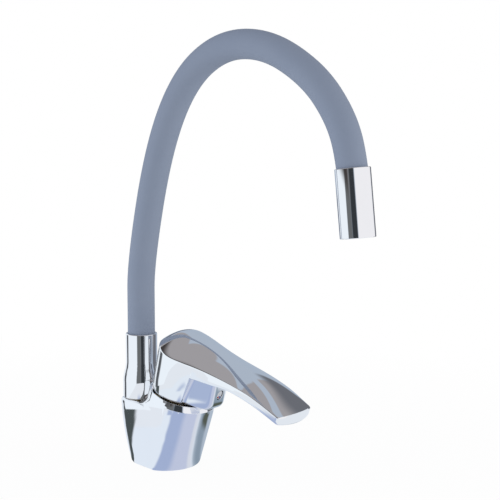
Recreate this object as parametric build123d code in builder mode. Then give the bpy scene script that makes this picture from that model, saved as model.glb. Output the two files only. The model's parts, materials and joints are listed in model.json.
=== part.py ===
from build123d import *
import math
import os

# Flexible single-lever kitchen tap. Millimetres, +Z up, +X towards the outlet.
# The origin is the middle of the base's underside, and the tap is symmetric across Y = 0.

# Tower: the leaning round part of the body that holds the cartridge.
# Heights along its axis follow the pin that the lever lifts on.
tower_lean = 16.5                # degrees, forward from the vertical
pivot_height = 66.0
shoulder_drop = 8.5              # from the pin down to the shoulder's outer edge
shoulder_height = pivot_height - shoulder_drop
tower_radius_low = 26.6          # where the tower's axis meets the underside
tower_radius_top = 28.2          # at the outer edge of the shoulder
tower_neck_radius = 25.8         # behind the flats, above the spout's socket
shoulder_rise = 4.4
shoulder_land = 0.9              # flat rim between the shoulder and the well
well_radius = 24.8               # the well that the handle's skirt dips into
well_depth = 7.4
base_rounding = 3.5

# Side flats that run from the tower back to the spout socket
flat_half_width = 24.2           # half the width between the flats, above the origin
flat_taper_share = 0.208         # gain of half width for each length forward
flat_lean_share = 0.0355         # loss of half width for each length upward
socket_x = -24.8                 # the spout's vertical axis
socket_drop = 7.0                # from the shoulder's edge down to the spout's floor
socket_height = shoulder_height - socket_drop
socket_sweep = 6.0               # hollow round from the spout's floor up to the tower
sweep_angles = (84, 60, 40, 20, 0)   # degrees along that round
rear_foot_x = -5.5               # centre of the rear curve at the underside
rear_waist_x = -18.0             # the same at the waist
waist_height = 24.0
tower_back_x = 2.0               # behind this the hull takes the tower's place
hull_front_low = 6.0             # where the rear hull ends inside the tower
hull_front_high = 12.0

# Water ways in the body
spout_bore_radius = 11.0
spout_bore_floor = 18.0
way_radius = 2.8
way_drop = 3.0                   # from the bore's floor down to the way's axis
way_height = spout_bore_floor - way_drop
way_foot_radius = 5.0
inlet_radius = 4.45              # tapping hole of M10 x 1
inlet_depth = 12.0
inlet_x = 8.0
inlet_y = 8.5
stud_radius = 3.4                # tapping hole of M8
stud_depth = 10.0
stud_x = -12.0
gasket_radius = 20.5             # middle of the base's sealing ring
gasket_cord = 3.2
gasket_side_gap = 0.2
gasket_seat_depth = 3.4

# Cartridge, along the tower's axis
chamber_drop = 40.0              # from the pin down to the chamber's floor
chamber_floor = pivot_height - chamber_drop
chamber_radius = 17.6
thread_drop = 24.0
thread_floor = pivot_height - thread_drop
thread_radius = 21.0
cartridge_gap = 0.2
port_base_height = 7.0
port_radius = 2.4
port_forward = 3.5               # the two inlet ports, ahead of the axis
port_side = 5.5
outlet_port_back = 4.5           # the outlet port, behind the axis
outlet_port_radius = 2.8
port_seal_radius = 4.2
port_seal_cord = 1.5
peg_radius = 1.4
peg_length = 2.0
peg_side = 14.0
peg_gap = 0.15
fixed_disc_radius = 14.8
fixed_disc_height = 3.4
moving_disc_radius = 11.8
moving_disc_height = 3.0
disc_film = 0.05
mixing_pocket_depth = 1.8
mixing_pocket_radius = 5.5
mixing_pocket_back = 3.0         # behind the disc's centre, clear of the shut inlets
disc_carrier_radius = 10.4
disc_carrier_height = 6.4
ball_pocket_depth = 5.4
housing_wall = 1.8
housing_drop = 16.0
housing_shoulder = pivot_height - housing_drop
housing_roof = 2.0
neck_radius = 12.8
neck_rise = 4.5
neck_top = pivot_height + neck_rise
carrier_radius = 10.42
carrier_gap = 0.08
carrier_flange_height = 1.7
carrier_flange_inset = 0.3
carrier_rise = 3.5
carrier_top = pivot_height + carrier_rise
carrier_slot = 8.4
nut_height = 12.2
nut_floor_gap = 0.3
nut_flange_gap = 0.1
nut_bore_gap = 0.3
nut_thread_gap = 0.15
nut_hex_flat = 15.0              # half the width across the hexagon
nut_hex_height = 3.0
nut_hex_chamfer = 0.6
nut_foot_gap = 0.1

# Lever mechanism
lift_angle = 18.0                # degrees, closed to fully open
pin_radius = 1.5
pin_length = 20.0
pin_gap = 0.05
stem_side = 8.0
stem_square_drop = 6.0
stem_square_foot = pivot_height - stem_square_drop
stem_rise = 19.0
stem_top = pivot_height + stem_rise
stem_rod_radius = 2.5
ball_radius = 3.0
ball_gap = 0.35
slot_play = 0.35
carrier_seal_cord = 1.6
carrier_seal_drop = 9.0
carrier_seal_height = pivot_height - carrier_seal_drop

# Handle: a domed cup with a long crowned lever, die cast in one piece
head_radius = 25.7
skirt_radius = 24.0
skirt_gap = 0.4                  # between the body's shoulder and the skirt
skirt_foot = shoulder_height + shoulder_rise + skirt_gap
skirt_height = 34.2
rim_height = skirt_foot + skirt_height
head_crown = 16.5
cup_radius = 20.5
cup_wall_drop = 6.5              # from the rim down to the top of the cup's inner wall
cup_wall_end = rim_height - cup_wall_drop
cup_roof_wall = 6.0
cup_roof = rim_height + head_crown - cup_roof_wall
hub_side = 16.0
hub_front = 14.0
hub_rise = 8.0
hub_foot = pivot_height + hub_rise
hub_gap = 0.05
lever_reach = 104.5              # from the tower's axis to the tip's corners
tip_bulge = 4.0
tip_drop = 5.0
side_band = 10.0
station_shares = (0.05, 0.12, 0.25, 0.4, 0.55, 0.7, 0.84, 0.95, 1.08)
width_shares = (0.97, 0.925, 0.855, 0.815, 0.85, 0.885, 0.885, 0.865, 0.82)
drop_shares = (0.01, -0.02, -0.06, -0.24, -0.5, -0.46, -0.06, 0.55, 1.35)
crown_shares = (0.95, 0.94, 0.86, 0.68, 0.55, 0.43, 0.31, 0.23, 0.16)
band_shares = (1.0, 1.0, 0.92, 0.72, 0.6, 0.55, 0.55, 0.55, 0.55)
underside_share = 0.55           # the underside's arch follows the crown
crest_share = 0.62               # where the two crests run beside the hollow on top
tip_hollow = 2.6                 # depth of that shallow hollow
hollow_shares = (0, 0, 0, 0.05, 0.4, 0.85, 1.0, 1.0, 1.0)
pocket_stations = (3, 4, 5, 6, 7)    # the lever is hollow below between these
lever_wall = 1.9
lever_plate = 3.0
chin_root_u = 9.0
chin_root_half = 17.0
chin_nose_u = 35.5
chin_nose_half = 8.6
chin_bulge = 3.5
chin_lift = 0.3                  # the chin ends just above the skirt's foot
chin_foot = skirt_foot + chin_lift
chin_overlap = 1.5               # how far the chin runs up into the lever
chin_top = rim_height + chin_overlap
notch_angle = 48.0               # degrees each side of the lever
notch_drop = 9.5
notch_top = rim_height - notch_drop
notch_radius = 21.4
screw_rise = 10.0
screw_height = pivot_height + screw_rise
screw_radius = 2.5
screw_length = 8.5
screw_hex = 1.25
screw_hex_depth = 2.5
screw_gap = 0.1
plug_radius = 3.8
plug_gap = 0.15
plug_length = 4.0
plug_inset = 0.6
mark_radius = 1.1
mark_depth = 0.5
mark_offset = 1.7

# Spout: swivelling stem, bendable neck in a silicone sleeve, and the outlet
spout_gap = 0.05
stem_floor_gap = 1.0
stem_bore = 2.6
stem_flange_radius = 13.9
stem_flange_height = 2.8
stem_shank_radius = 9.0
stem_shank_rise = 33.5           # from the spout's floor, as the ferrule's heights
stem_shank_top = socket_height + stem_shank_rise
spigot_radius = 3.9
spigot_length = 12.0
seal_cord = 2.2
seal_shares = (0.25, 0.55)       # places of the two seals along the spout's bore
seal_squeeze = 0.2
seal_groove_play = 0.2
catch_drop = 6.0
catch_height = socket_height - catch_drop
catch_groove = 3.6
catch_groove_depth = 2.0
catch_radius = 1.5
catch_screw_radius = 2.5
catch_screw_length = 5.0
catch_reach = 1.3
slide_ring_height = 0.7
slide_ring_gap = 0.1
ferrule_radius_low = 15.1
ferrule_radius_top = 12.7
ferrule_gap = 0.2
ferrule_step_rise = 13.5
ferrule_step_start = socket_height + ferrule_step_rise
ferrule_step_length = 16.0
ferrule_step_end = ferrule_step_start + ferrule_step_length
ferrule_grip = 22.9              # straight run above the step
ferrule_top = ferrule_step_end + ferrule_grip
ferrule_lip = 0.8
socket_clearance = 0.5
socket_round = 2.6
sleeve_radius = 11.0
sleeve_wall = 1.8
sleeve_gap = 0.25
sleeve_entry = 10.0
core_radius = 8.95
core_wall = 2.2
hose_radius = 5.8
hose_wall = 1.7
end_gap = 0.3
crimp_radius = 6.5
crimp_length = 10.0
spout_route = [
    (socket_x, 159.4), (-5.3, 249.8), (21.3, 303.8), (57.9, 328.9), (100.0, 327.8),
    (140.3, 303.6), (162.7, 274.4), (172.1, 246.6),
]
arc_share = 0.45
outlet_x = 177.9
outlet_z = 190.6
outlet_length = 48.4
outlet_radius = 12.65
outlet_wall = 1.0
outlet_collar = 4.4
outlet_lip = 0.5
neck_end = 31.0                  # where the bendable neck ends, above the outlet's mouth
adapter_radius = 11.35
adapter_height = 18.0
adapter_neck_radius = 10.0
adapter_neck_length = 3.6
aerator_radius = 11.35
aerator_height = 11.5
aerator_inset = 0.6
aerator_lip = 1.4
aerator_lip_radius = 9.2
aerator_wall = 1.15
straightener_height = 4.0
straightener_hole = 0.95
straightener_pitch = 3.2
screen_height = 0.5
washer_height = 1.8
washer_bore = 6.0
stack_gap = 0.1
cut = 5.0                        # overrun of every cutting tool

lean = math.radians(tower_lean)
tower_forward = Vector(math.cos(lean), 0, -math.sin(lean))
tower_up = Vector(math.sin(lean), 0, math.cos(lean))
tower_axis = Axis((0, 0, 0), tower_up)
tower = Plane(origin=(0, 0, 0), x_dir=tower_forward, z_dir=tower_up)
tower_side = Plane(origin=(0, 0, 0), x_dir=tower_forward, z_dir=(0, -1, 0))
spout_side = Plane(origin=(socket_x, 0, 0), x_dir=(1, 0, 0), z_dir=(0, -1, 0))
spout_axis = Axis((socket_x, 0, 0), (0, 0, 1))


def tower_section(forward):
    """A plane across the lever, at a distance ahead of the tower's axis."""
    return Plane(origin=tower_forward * forward, x_dir=(0, 1, 0), z_dir=tower_forward)


def ring(plane, radius, bore, height):
    """A plain ring standing on a plane."""
    with BuildPart() as made:
        with BuildSketch(plane):
            Circle(radius)
            Circle(bore, mode=Mode.SUBTRACT)
        extrude(amount=height)
    return made.part


def flat_half(x, z):
    """Half the width between the side flats, at a place above the underside."""
    return flat_half_width + flat_taper_share * x - flat_lean_share * z


tower_top = shoulder_height + shoulder_rise
flat_slant = math.sqrt(1 + flat_taper_share**2)
side_flats = [
    Plane(
        origin=(0, side * flat_half_width, 0),
        z_dir=Vector(-flat_taper_share, side, flat_lean_share),
    )
    for side in (1, -1)
]

# Hollow round from the spout's floor up to the tower's narrow rear
with BuildPart() as socket_swell:
    for angle in sweep_angles:
        spread = socket_sweep * (1 - math.cos(math.radians(angle)))
        swell_height = socket_height + socket_sweep * (1 - math.sin(math.radians(angle)))
        with BuildSketch(Plane.XY.offset(swell_height)):
            with Locations((swell_height * math.tan(lean), 0)):
                Ellipse(tower_neck_radius / math.cos(lean) + spread, tower_neck_radius + spread)
    loft()
    behind = Plane(origin=(socket_height * math.tan(lean), 0, 0), z_dir=(1, 0, 0))
    split(bisect_by=behind, keep=Keep.BOTTOM)
    for flat in side_flats:
        split(bisect_by=flat, keep=Keep.BOTTOM)

# Body: the leaning tower and the rear hull, cut by two side flats
with BuildPart() as mixer_body:
    with BuildSketch(tower_side):
        with BuildLine():
            Polyline(
                (0, -tower_radius_low),
                (tower_radius_low, -tower_radius_low),
                (tower_radius_low, 0),
                (tower_radius_top, shoulder_height),
                (well_radius + shoulder_land, tower_top),
                (0, tower_top),
                close=True,
            )
        make_face()
    revolve(axis=tower_axis)
    with BuildSketch(Plane.XY.offset(-tower_radius_low)):
        with Locations((tower_back_x, 0)):
            Rectangle(
                2 * tower_radius_low, 3 * tower_radius_low, align=(Align.MAX, Align.CENTER)
            )
    extrude(amount=socket_height + tower_radius_low, mode=Mode.SUBTRACT)
    for flat in side_flats:
        split(bisect_by=flat, keep=Keep.BOTTOM)
    for height, rear_x, front_x in (
        (0, rear_foot_x, hull_front_low),
        (waist_height, rear_waist_x, (hull_front_low + hull_front_high) / 2),
        (socket_height, socket_x, hull_front_high),
    ):
        # The rear curve is an arc that both flats touch
        rear_radius = flat_half(rear_x, height) / flat_slant
        touch_x = rear_x - rear_radius * flat_taper_share / flat_slant
        touch_y = rear_radius / flat_slant
        front_y = flat_half(front_x, height)
        with BuildSketch(Plane.XY.offset(height)):
            with BuildLine():
                Line((front_x, -front_y), (front_x, front_y))
                Line((front_x, front_y), (touch_x, touch_y))
                ThreePointArc(
                    (touch_x, touch_y), (rear_x - rear_radius, 0), (touch_x, -touch_y)
                )
                Line((touch_x, -touch_y), (front_x, -front_y))
            make_face()
    loft()
    split(bisect_by=Plane.XY, keep=Keep.TOP)
    foot_edges = mixer_body.faces().sort_by(Axis.Z)[0].outer_wire().edges()
    fillet(foot_edges, base_rounding)
    socket_face = mixer_body.faces().filter_by(Plane.XY).sort_by(Axis.Z)[-1]
    fillet(socket_face.edges().sort_by(Axis.X)[:-1], socket_round)
    # Above the socket's floor the tower's rear half narrows, parallel to its axis
    with BuildSketch(Plane.XY.offset(socket_height)):
        with Locations((socket_height * math.tan(lean), 0)):
            Rectangle(
                2 * tower_radius_top, 3 * tower_radius_top, align=(Align.MAX, Align.CENTER)
            )
            Ellipse(tower_neck_radius / math.cos(lean), tower_neck_radius, mode=Mode.SUBTRACT)
    extrude(amount=tower_radius_top, dir=tower_up, mode=Mode.SUBTRACT)
    add(socket_swell.part)

    # Recess round the spout's foot, and the bore that the stem turns in
    with BuildSketch(Plane.XY.offset(socket_height)):
        with Locations((socket_x, 0)):
            Circle(ferrule_radius_low + socket_clearance)
    extrude(amount=ferrule_step_start - socket_height + cut, mode=Mode.SUBTRACT)
    with BuildSketch(Plane.XY.offset(spout_bore_floor)):
        with Locations((socket_x, 0)):
            Circle(spout_bore_radius)
    extrude(amount=socket_height - spout_bore_floor + cut, mode=Mode.SUBTRACT)
    with BuildSketch(Plane.XY.offset(way_height - way_radius)):
        with Locations((socket_x, 0)):
            Circle(way_foot_radius)
    extrude(amount=spout_bore_floor - way_height + way_radius, mode=Mode.SUBTRACT)
    outlet_port_foot = (way_height - outlet_port_back * math.sin(lean)) / math.cos(lean)
    way_end_x = outlet_port_foot * math.sin(lean) - outlet_port_back * math.cos(lean)
    with BuildSketch(Plane.YZ.offset(socket_x)):
        with Locations((0, way_height)):
            Circle(way_radius)
    extrude(amount=way_end_x + way_radius - socket_x, mode=Mode.SUBTRACT)

    # Well, nut thread and cartridge chamber, bored down the tower's axis
    for floor, bore_radius in (
        (tower_top - well_depth, well_radius),
        (thread_floor, thread_radius),
        (chamber_floor, chamber_radius),
    ):
        with BuildSketch(tower.offset(floor)):
            Circle(bore_radius)
        extrude(amount=tower_top - floor + cut, mode=Mode.SUBTRACT)
    with BuildSketch(tower.offset(chamber_floor)):
        with Locations((0, peg_side), (0, -peg_side)):
            Circle(peg_radius + peg_gap)
    extrude(amount=-peg_length - peg_gap, mode=Mode.SUBTRACT)
    with BuildSketch(tower.offset(chamber_floor)):
        with Locations((-outlet_port_back, 0)):
            Circle(way_radius)
    extrude(amount=outlet_port_foot - chamber_floor - way_radius, mode=Mode.SUBTRACT)

    # Underside: the sealing ring's seat, inlets and stud hole
    with BuildSketch(Plane.XY):
        Circle(gasket_radius + gasket_cord / 2 + gasket_side_gap)
        Circle(gasket_radius - gasket_cord / 2 - gasket_side_gap, mode=Mode.SUBTRACT)
    extrude(amount=gasket_seat_depth, mode=Mode.SUBTRACT)
    with BuildSketch(Plane.XY):
        with Locations((inlet_x, inlet_y), (inlet_x, -inlet_y)):
            Circle(inlet_radius)
    extrude(amount=inlet_depth, mode=Mode.SUBTRACT)
    for side in (1, -1):
        port = tower.from_local_coords((port_forward, side * port_side, chamber_floor))
        inlet_end = Vector(inlet_x, side * inlet_y, inlet_depth)
        with BuildSketch(Plane(origin=inlet_end, z_dir=port - inlet_end)):
            Circle(way_radius)
        extrude(amount=(port - inlet_end).length, mode=Mode.SUBTRACT)
    with BuildSketch(Plane.XY):
        with Locations((stud_x, 0)):
            Circle(stud_radius)
    extrude(amount=stud_depth, mode=Mode.SUBTRACT)

    # Cross hole at the back for the screw that catches the stem's groove
    with BuildSketch(Plane.YZ.offset(socket_x)):
        with Locations((0, catch_height)):
            Circle(catch_screw_radius)
    extrude(amount=-(ferrule_radius_low + cut), mode=Mode.SUBTRACT)
mixer_body.part.label = "mixer_body"

with BuildPart() as base_gasket:
    with BuildSketch(Plane.XZ):
        with Locations((gasket_radius, gasket_cord / 2)):
            Circle(gasket_cord / 2)
    revolve(axis=Axis.Z)
base_gasket.part.label = "base_gasket"

# Cartridge base with its three ports, two pegs and the seats of the seals
ports = ((port_forward, port_side), (port_forward, -port_side))
outlet_port = (-outlet_port_back, 0)
with BuildPart() as cartridge_base:
    with BuildSketch(tower.offset(chamber_floor)):
        Circle(chamber_radius - cartridge_gap)
    extrude(amount=port_base_height)
    with BuildSketch(tower.offset(chamber_floor)):
        with Locations((0, peg_side), (0, -peg_side)):
            Circle(peg_radius)
    extrude(amount=-peg_length)
    with BuildSketch(tower.offset(chamber_floor)):
        with Locations(*ports):
            Circle(port_radius)
        with Locations(outlet_port):
            Circle(outlet_port_radius)
    extrude(amount=port_base_height, mode=Mode.SUBTRACT)
    with BuildSketch(tower.offset(chamber_floor)):
        with Locations(*ports, outlet_port):
            Circle(port_seal_radius)
    extrude(amount=port_seal_cord, mode=Mode.SUBTRACT)
cartridge_base.part.label = "cartridge_base"

with BuildPart() as port_seals:
    with BuildSketch(tower.offset(chamber_floor)):
        with Locations(*ports, outlet_port):
            Circle(port_seal_radius)
            Circle(outlet_port_radius, mode=Mode.SUBTRACT)
    extrude(amount=port_seal_cord)
port_seals.part.label = "port_seals"

# Two ceramic discs: the lower one stays, the upper one slides and turns on it
disc_floor = chamber_floor + port_base_height
with BuildPart() as fixed_ceramic_disc:
    with BuildSketch(tower.offset(disc_floor)):
        Circle(fixed_disc_radius)
        with Locations(*ports):
            Circle(port_radius, mode=Mode.SUBTRACT)
        with Locations(outlet_port):
            Circle(outlet_port_radius, mode=Mode.SUBTRACT)
    extrude(amount=fixed_disc_height)
fixed_ceramic_disc.part.label = "fixed_ceramic_disc"

moving_floor = disc_floor + fixed_disc_height + disc_film
disc_carrier_floor = moving_floor + moving_disc_height
pocket_floor = disc_carrier_floor + disc_carrier_height - ball_pocket_depth
ball_height = pocket_floor + ball_radius + ball_gap
disc_travel = (pivot_height - ball_height) * math.sin(math.radians(lift_angle))
moving_disc_back = disc_travel / 2
print("disc travel", round(disc_travel, 3), "over", lift_angle, "degrees")
with BuildPart() as moving_ceramic_disc:
    with BuildSketch(tower.offset(moving_floor)):
        with Locations((-moving_disc_back, 0)):
            Circle(moving_disc_radius)
    extrude(amount=moving_disc_height)
    with BuildSketch(tower.offset(moving_floor)):
        with Locations((-moving_disc_back - mixing_pocket_back, 0)):
            Circle(mixing_pocket_radius)
    extrude(amount=mixing_pocket_depth, mode=Mode.SUBTRACT)
moving_ceramic_disc.part.label = "moving_ceramic_disc"

with BuildPart() as disc_carrier:
    with BuildSketch(tower.offset(disc_carrier_floor)):
        with Locations((-moving_disc_back, 0)):
            Circle(disc_carrier_radius)
    extrude(amount=disc_carrier_height)
    with BuildSketch(tower.offset(pocket_floor)):
        Circle(ball_radius + ball_gap)
    extrude(amount=ball_pocket_depth + cut, mode=Mode.SUBTRACT)
disc_carrier.part.label = "disc_carrier"

# Housing: a cup over the discs with a neck for the turning carrier
housing_radius = chamber_radius - cartridge_gap
with BuildPart() as cartridge_housing:
    with BuildSketch(tower_side):
        with BuildLine():
            Polyline(
                (housing_radius - housing_wall, disc_floor),
                (housing_radius, disc_floor),
                (housing_radius, housing_shoulder),
                (neck_radius, housing_shoulder),
                (neck_radius, neck_top),
                (carrier_radius + carrier_gap, neck_top),
                (carrier_radius + carrier_gap, housing_shoulder - housing_roof),
                (housing_radius - housing_wall, housing_shoulder - housing_roof),
                close=True,
            )
        make_face()
    revolve(axis=tower_axis)
cartridge_housing.part.label = "cartridge_housing"

# Carrier: turns in the neck and holds the pivot pin of the lever's stem
flange_top = housing_shoulder - housing_roof - carrier_gap
play = math.tan(math.radians(lift_angle))
square_half = stem_side / 2
with BuildPart() as lever_carrier:
    with BuildSketch(tower_side):
        with BuildLine():
            Polyline(
                (0, flange_top - carrier_flange_height),
                (housing_radius - housing_wall - carrier_flange_inset,
                 flange_top - carrier_flange_height),
                (housing_radius - housing_wall - carrier_flange_inset, flange_top),
                (carrier_radius, flange_top),
                (carrier_radius, carrier_top),
                (0, carrier_top),
                close=True,
            )
        make_face()
    revolve(axis=tower_axis)
    with BuildSketch(tower_side):
        with BuildLine():
            above = carrier_top - pivot_height
            below = pivot_height - stem_square_foot
            rod_half = stem_rod_radius + slot_play
            slot_foot = flange_top - carrier_flange_height - cut
            swing_top = square_half + slot_play + above * play
            swing_low = square_half + slot_play + below * play
            Polyline(
                (-swing_top, carrier_top + cut),
                (square_half + slot_play, carrier_top + cut),
                (square_half + slot_play, pivot_height),
                (swing_low, stem_square_foot - slot_play),
                (rod_half + (pivot_height - slot_foot) * play, slot_foot),
                (-rod_half, slot_foot),
                (-rod_half, stem_square_foot - square_half * play - slot_play),
                (-square_half - slot_play, stem_square_foot - square_half * play),
                (-square_half - slot_play, pivot_height),
                (-swing_top, carrier_top),
                close=True,
            )
        make_face()
    extrude(amount=carrier_slot / 2, both=True, mode=Mode.SUBTRACT)
    with BuildSketch(tower_side):
        with Locations((0, pivot_height)):
            Circle(pin_radius)
    extrude(amount=pin_length / 2, both=True, mode=Mode.SUBTRACT)
    with BuildSketch(tower_side):
        with Locations((carrier_radius - carrier_seal_cord / 2, carrier_seal_height)):
            Rectangle(carrier_seal_cord, carrier_seal_cord + 2 * carrier_gap)
    revolve(axis=tower_axis, mode=Mode.SUBTRACT)
lever_carrier.part.label = "lever_carrier"

with BuildPart() as carrier_seal:
    with BuildSketch(tower_side):
        with Locations((carrier_radius - carrier_seal_cord / 2, carrier_seal_height)):
            Circle(carrier_seal_cord / 2)
    revolve(axis=tower_axis)
carrier_seal.part.label = "carrier_seal"

with BuildPart() as pivot_pin:
    with BuildSketch(tower_side):
        with Locations((0, pivot_height)):
            Circle(pin_radius)
    extrude(amount=pin_length / 2, both=True)
pivot_pin.part.label = "pivot_pin"

with BuildPart() as lever_stem:
    with BuildSketch(tower.offset(stem_square_foot)):
        Rectangle(stem_side, stem_side)
    extrude(amount=stem_top - stem_square_foot)
    with BuildSketch(tower.offset(ball_height)):
        Circle(stem_rod_radius)
    extrude(amount=stem_square_foot - ball_height)
    with BuildSketch(tower_side):
        with BuildLine():
            CenterArc((0, ball_height), ball_radius, -90, 180)
            Line((0, ball_height + ball_radius), (0, ball_height - ball_radius))
        make_face()
    revolve(axis=tower_axis)
    with BuildSketch(tower_side):
        with Locations((0, pivot_height)):
            Circle(pin_radius + pin_gap)
    extrude(amount=stem_side, both=True, mode=Mode.SUBTRACT)
lever_stem.part.label = "lever_stem"

# Nut: a threaded cup that presses the housing's shoulder down
nut_top = tower_top - well_depth - nut_foot_gap
with BuildPart() as cartridge_nut:
    with BuildSketch(tower.offset(nut_top - nut_height + nut_floor_gap)):
        Circle(thread_radius - nut_thread_gap)
    extrude(amount=nut_height - nut_floor_gap)
    with BuildSketch(tower.offset(nut_top)):
        RegularPolygon(nut_hex_flat, 6, major_radius=False)
    extrude(amount=nut_hex_height)
    with BuildSketch(tower.offset(nut_top - nut_height)):
        Circle(housing_radius + nut_bore_gap)
    nut_cup = housing_shoulder + nut_flange_gap - (nut_top - nut_height)
    extrude(amount=nut_cup, mode=Mode.SUBTRACT)
    with BuildSketch(tower.offset(housing_shoulder)):
        Circle(neck_radius + nut_bore_gap)
    extrude(amount=nut_top + nut_hex_height - housing_shoulder, mode=Mode.SUBTRACT)
    hex_rim = cartridge_nut.edges().group_by(tower_axis)[-1].filter_by(GeomType.LINE)
    chamfer(hex_rim, nut_hex_chamfer)
cartridge_nut.part.label = "cartridge_nut"

# Handle, first its long crowned blade, lofted across the tower's forward direction


def lever_station(place):
    """The lever's half width, its rim, the crests and middle of its top, and its foot."""
    half = head_radius * width_shares[place]
    rim = rim_height - tip_drop * drop_shares[place]
    crown = head_crown * crown_shares[place]
    crest = rim + crown * (1 - crest_share**2)
    middle = rim + crown - tip_hollow * hollow_shares[place]
    foot = rim - side_band * band_shares[place]
    return half, rim, crown, crest, middle, foot


with BuildPart() as lever_pocket:
    for place in pocket_stations:
        half, rim, crown, crest, middle, foot = lever_station(place)
        inner = half - lever_wall
        with BuildSketch(tower_section(lever_reach * station_shares[place])):
            with BuildLine():
                Line((-inner, foot - cut), (-inner, rim - lever_plate))
                ThreePointArc(
                    (-inner, rim - lever_plate), (0, middle - lever_plate), (inner, rim - lever_plate)
                )
                Line((inner, rim - lever_plate), (inner, foot - cut))
                Line((inner, foot - cut), (-inner, foot - cut))
            make_face()
    loft()

with BuildPart() as lever_blade:
    for place in range(len(station_shares)):
        half, rim, crown, crest, middle, foot = lever_station(place)
        with BuildSketch(tower_section(lever_reach * station_shares[place])):
            with BuildLine():
                Line((-half, foot), (-half, rim))
                Spline(
                    (-half, rim), (-half * crest_share, crest), (0, middle),
                    (half * crest_share, crest), (half, rim),
                )
                Line((half, rim), (half, foot))
                ThreePointArc((half, foot), (0, foot + crown * underside_share), (-half, foot))
            make_face()
    loft()
    # Convex tip
    tip_half = head_radius * width_shares[-2]
    tip_radius = (tip_half**2 + tip_bulge**2) / (2 * tip_bulge)
    tip_centre = lever_reach + tip_bulge - tip_radius
    tip_room = lever_reach * station_shares[-1] + cut - lever_reach + tip_bulge
    with BuildSketch(tower.offset(skirt_foot)):
        with Locations((lever_reach - tip_bulge, 0)):
            Rectangle(tip_room + tip_bulge, 2 * head_radius, align=(Align.MIN, Align.CENTER))
        with Locations((tip_centre, 0)):
            Circle(tip_radius, mode=Mode.SUBTRACT)
    extrude(amount=rim_height + head_crown, mode=Mode.SUBTRACT)
    add(lever_pocket.part, mode=Mode.SUBTRACT)

# Then the revolved domed cup, the chin under the blade, and the hollows
with BuildPart() as lever_handle:
    with BuildSketch(tower_side):
        with BuildLine():
            Line((0, skirt_foot), (skirt_radius, skirt_foot))
            Line((skirt_radius, skirt_foot), (head_radius, rim_height))
            dome_radius = (head_radius**2 + head_crown**2) / (2 * head_crown)
            dome_side = head_radius * math.sqrt(1 / 2)
            dome_rise = math.sqrt(dome_radius**2 - dome_side**2) - dome_radius + head_crown
            ThreePointArc(
                (head_radius, rim_height),
                (dome_side, rim_height + dome_rise),
                (0, rim_height + head_crown),
            )
            Line((0, rim_height + head_crown), (0, skirt_foot))
        make_face()
    revolve(axis=tower_axis)
    for side in (1, -1):
        with BuildSketch(tower.offset(skirt_foot)):
            with BuildLine():
                far = head_radius + cut
                notch = math.radians(notch_angle)
                Polyline(
                    (notch_radius * math.cos(notch), side * notch_radius * math.sin(notch)),
                    (far * math.cos(notch), side * far * math.sin(notch)),
                    (far, 0),
                    (0, 0),
                    close=True,
                )
            make_face()
            Circle(notch_radius, mode=Mode.SUBTRACT)
        extrude(amount=notch_top - skirt_foot, mode=Mode.SUBTRACT)
    add(lever_blade.part)
    # Chin below the lever, with the way to the clamping screw
    with BuildSketch(tower.offset(chin_foot)):
        with BuildLine():
            Line((chin_root_u, -chin_root_half), (chin_nose_u, -chin_nose_half))
            ThreePointArc(
                (chin_nose_u, -chin_nose_half),
                (chin_nose_u + chin_bulge, 0),
                (chin_nose_u, chin_nose_half),
            )
            Line((chin_nose_u, chin_nose_half), (chin_root_u, chin_root_half))
            Line((chin_root_u, chin_root_half), (chin_root_u, -chin_root_half))
        make_face()
    extrude(amount=chin_top - chin_foot)
    # The cup, and the hub that takes the stem
    with BuildSketch(tower_side):
        with BuildLine():
            Line((0, skirt_foot - cut), (cup_radius, skirt_foot - cut))
            Line((cup_radius, skirt_foot - cut), (cup_radius, cup_wall_end))
            cup_rise = cup_roof - cup_wall_end
            cup_dome = (cup_radius**2 + cup_rise**2) / (2 * cup_rise)
            cup_side = cup_radius * math.sqrt(1 / 2)
            cup_mid = math.sqrt(cup_dome**2 - cup_side**2) - cup_dome + cup_rise
            ThreePointArc(
                (cup_radius, cup_wall_end), (cup_side, cup_wall_end + cup_mid), (0, cup_roof)
            )
            Line((0, cup_roof), (0, skirt_foot - cut))
        make_face()
    revolve(axis=tower_axis, mode=Mode.SUBTRACT)
    with BuildSketch(tower.offset(hub_foot)):
        with Locations(((hub_front - hub_side / 2) / 2, 0)):
            Rectangle(hub_front + hub_side / 2, hub_side)
    extrude(amount=cup_roof - hub_foot)
    with BuildSketch(tower.offset(hub_foot)):
        Rectangle(stem_side + 2 * hub_gap, stem_side + 2 * hub_gap)
    extrude(amount=stem_top + hub_gap - hub_foot, mode=Mode.SUBTRACT)
    with BuildSketch(tower_section(0)):
        with Locations((0, screw_height)):
            Circle(screw_radius + screw_gap)
    extrude(amount=chin_nose_u, mode=Mode.SUBTRACT)
    with BuildSketch(tower_section(hub_front)):
        with Locations((0, screw_height)):
            Circle(plug_radius + plug_gap)
    extrude(amount=chin_nose_u + chin_bulge, mode=Mode.SUBTRACT)
lever_handle.part.label = "lever_handle"

screw_start = square_half + hub_gap
with BuildPart() as handle_screw:
    with BuildSketch(tower_section(screw_start)):
        with Locations((0, screw_height)):
            Circle(screw_radius)
    extrude(amount=screw_length)
    with BuildSketch(tower_section(screw_start + screw_length - screw_hex_depth)):
        with Locations((0, screw_height)):
            RegularPolygon(screw_hex, 6, major_radius=False)
    extrude(amount=screw_hex_depth, mode=Mode.SUBTRACT)
handle_screw.part.label = "handle_screw"

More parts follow.
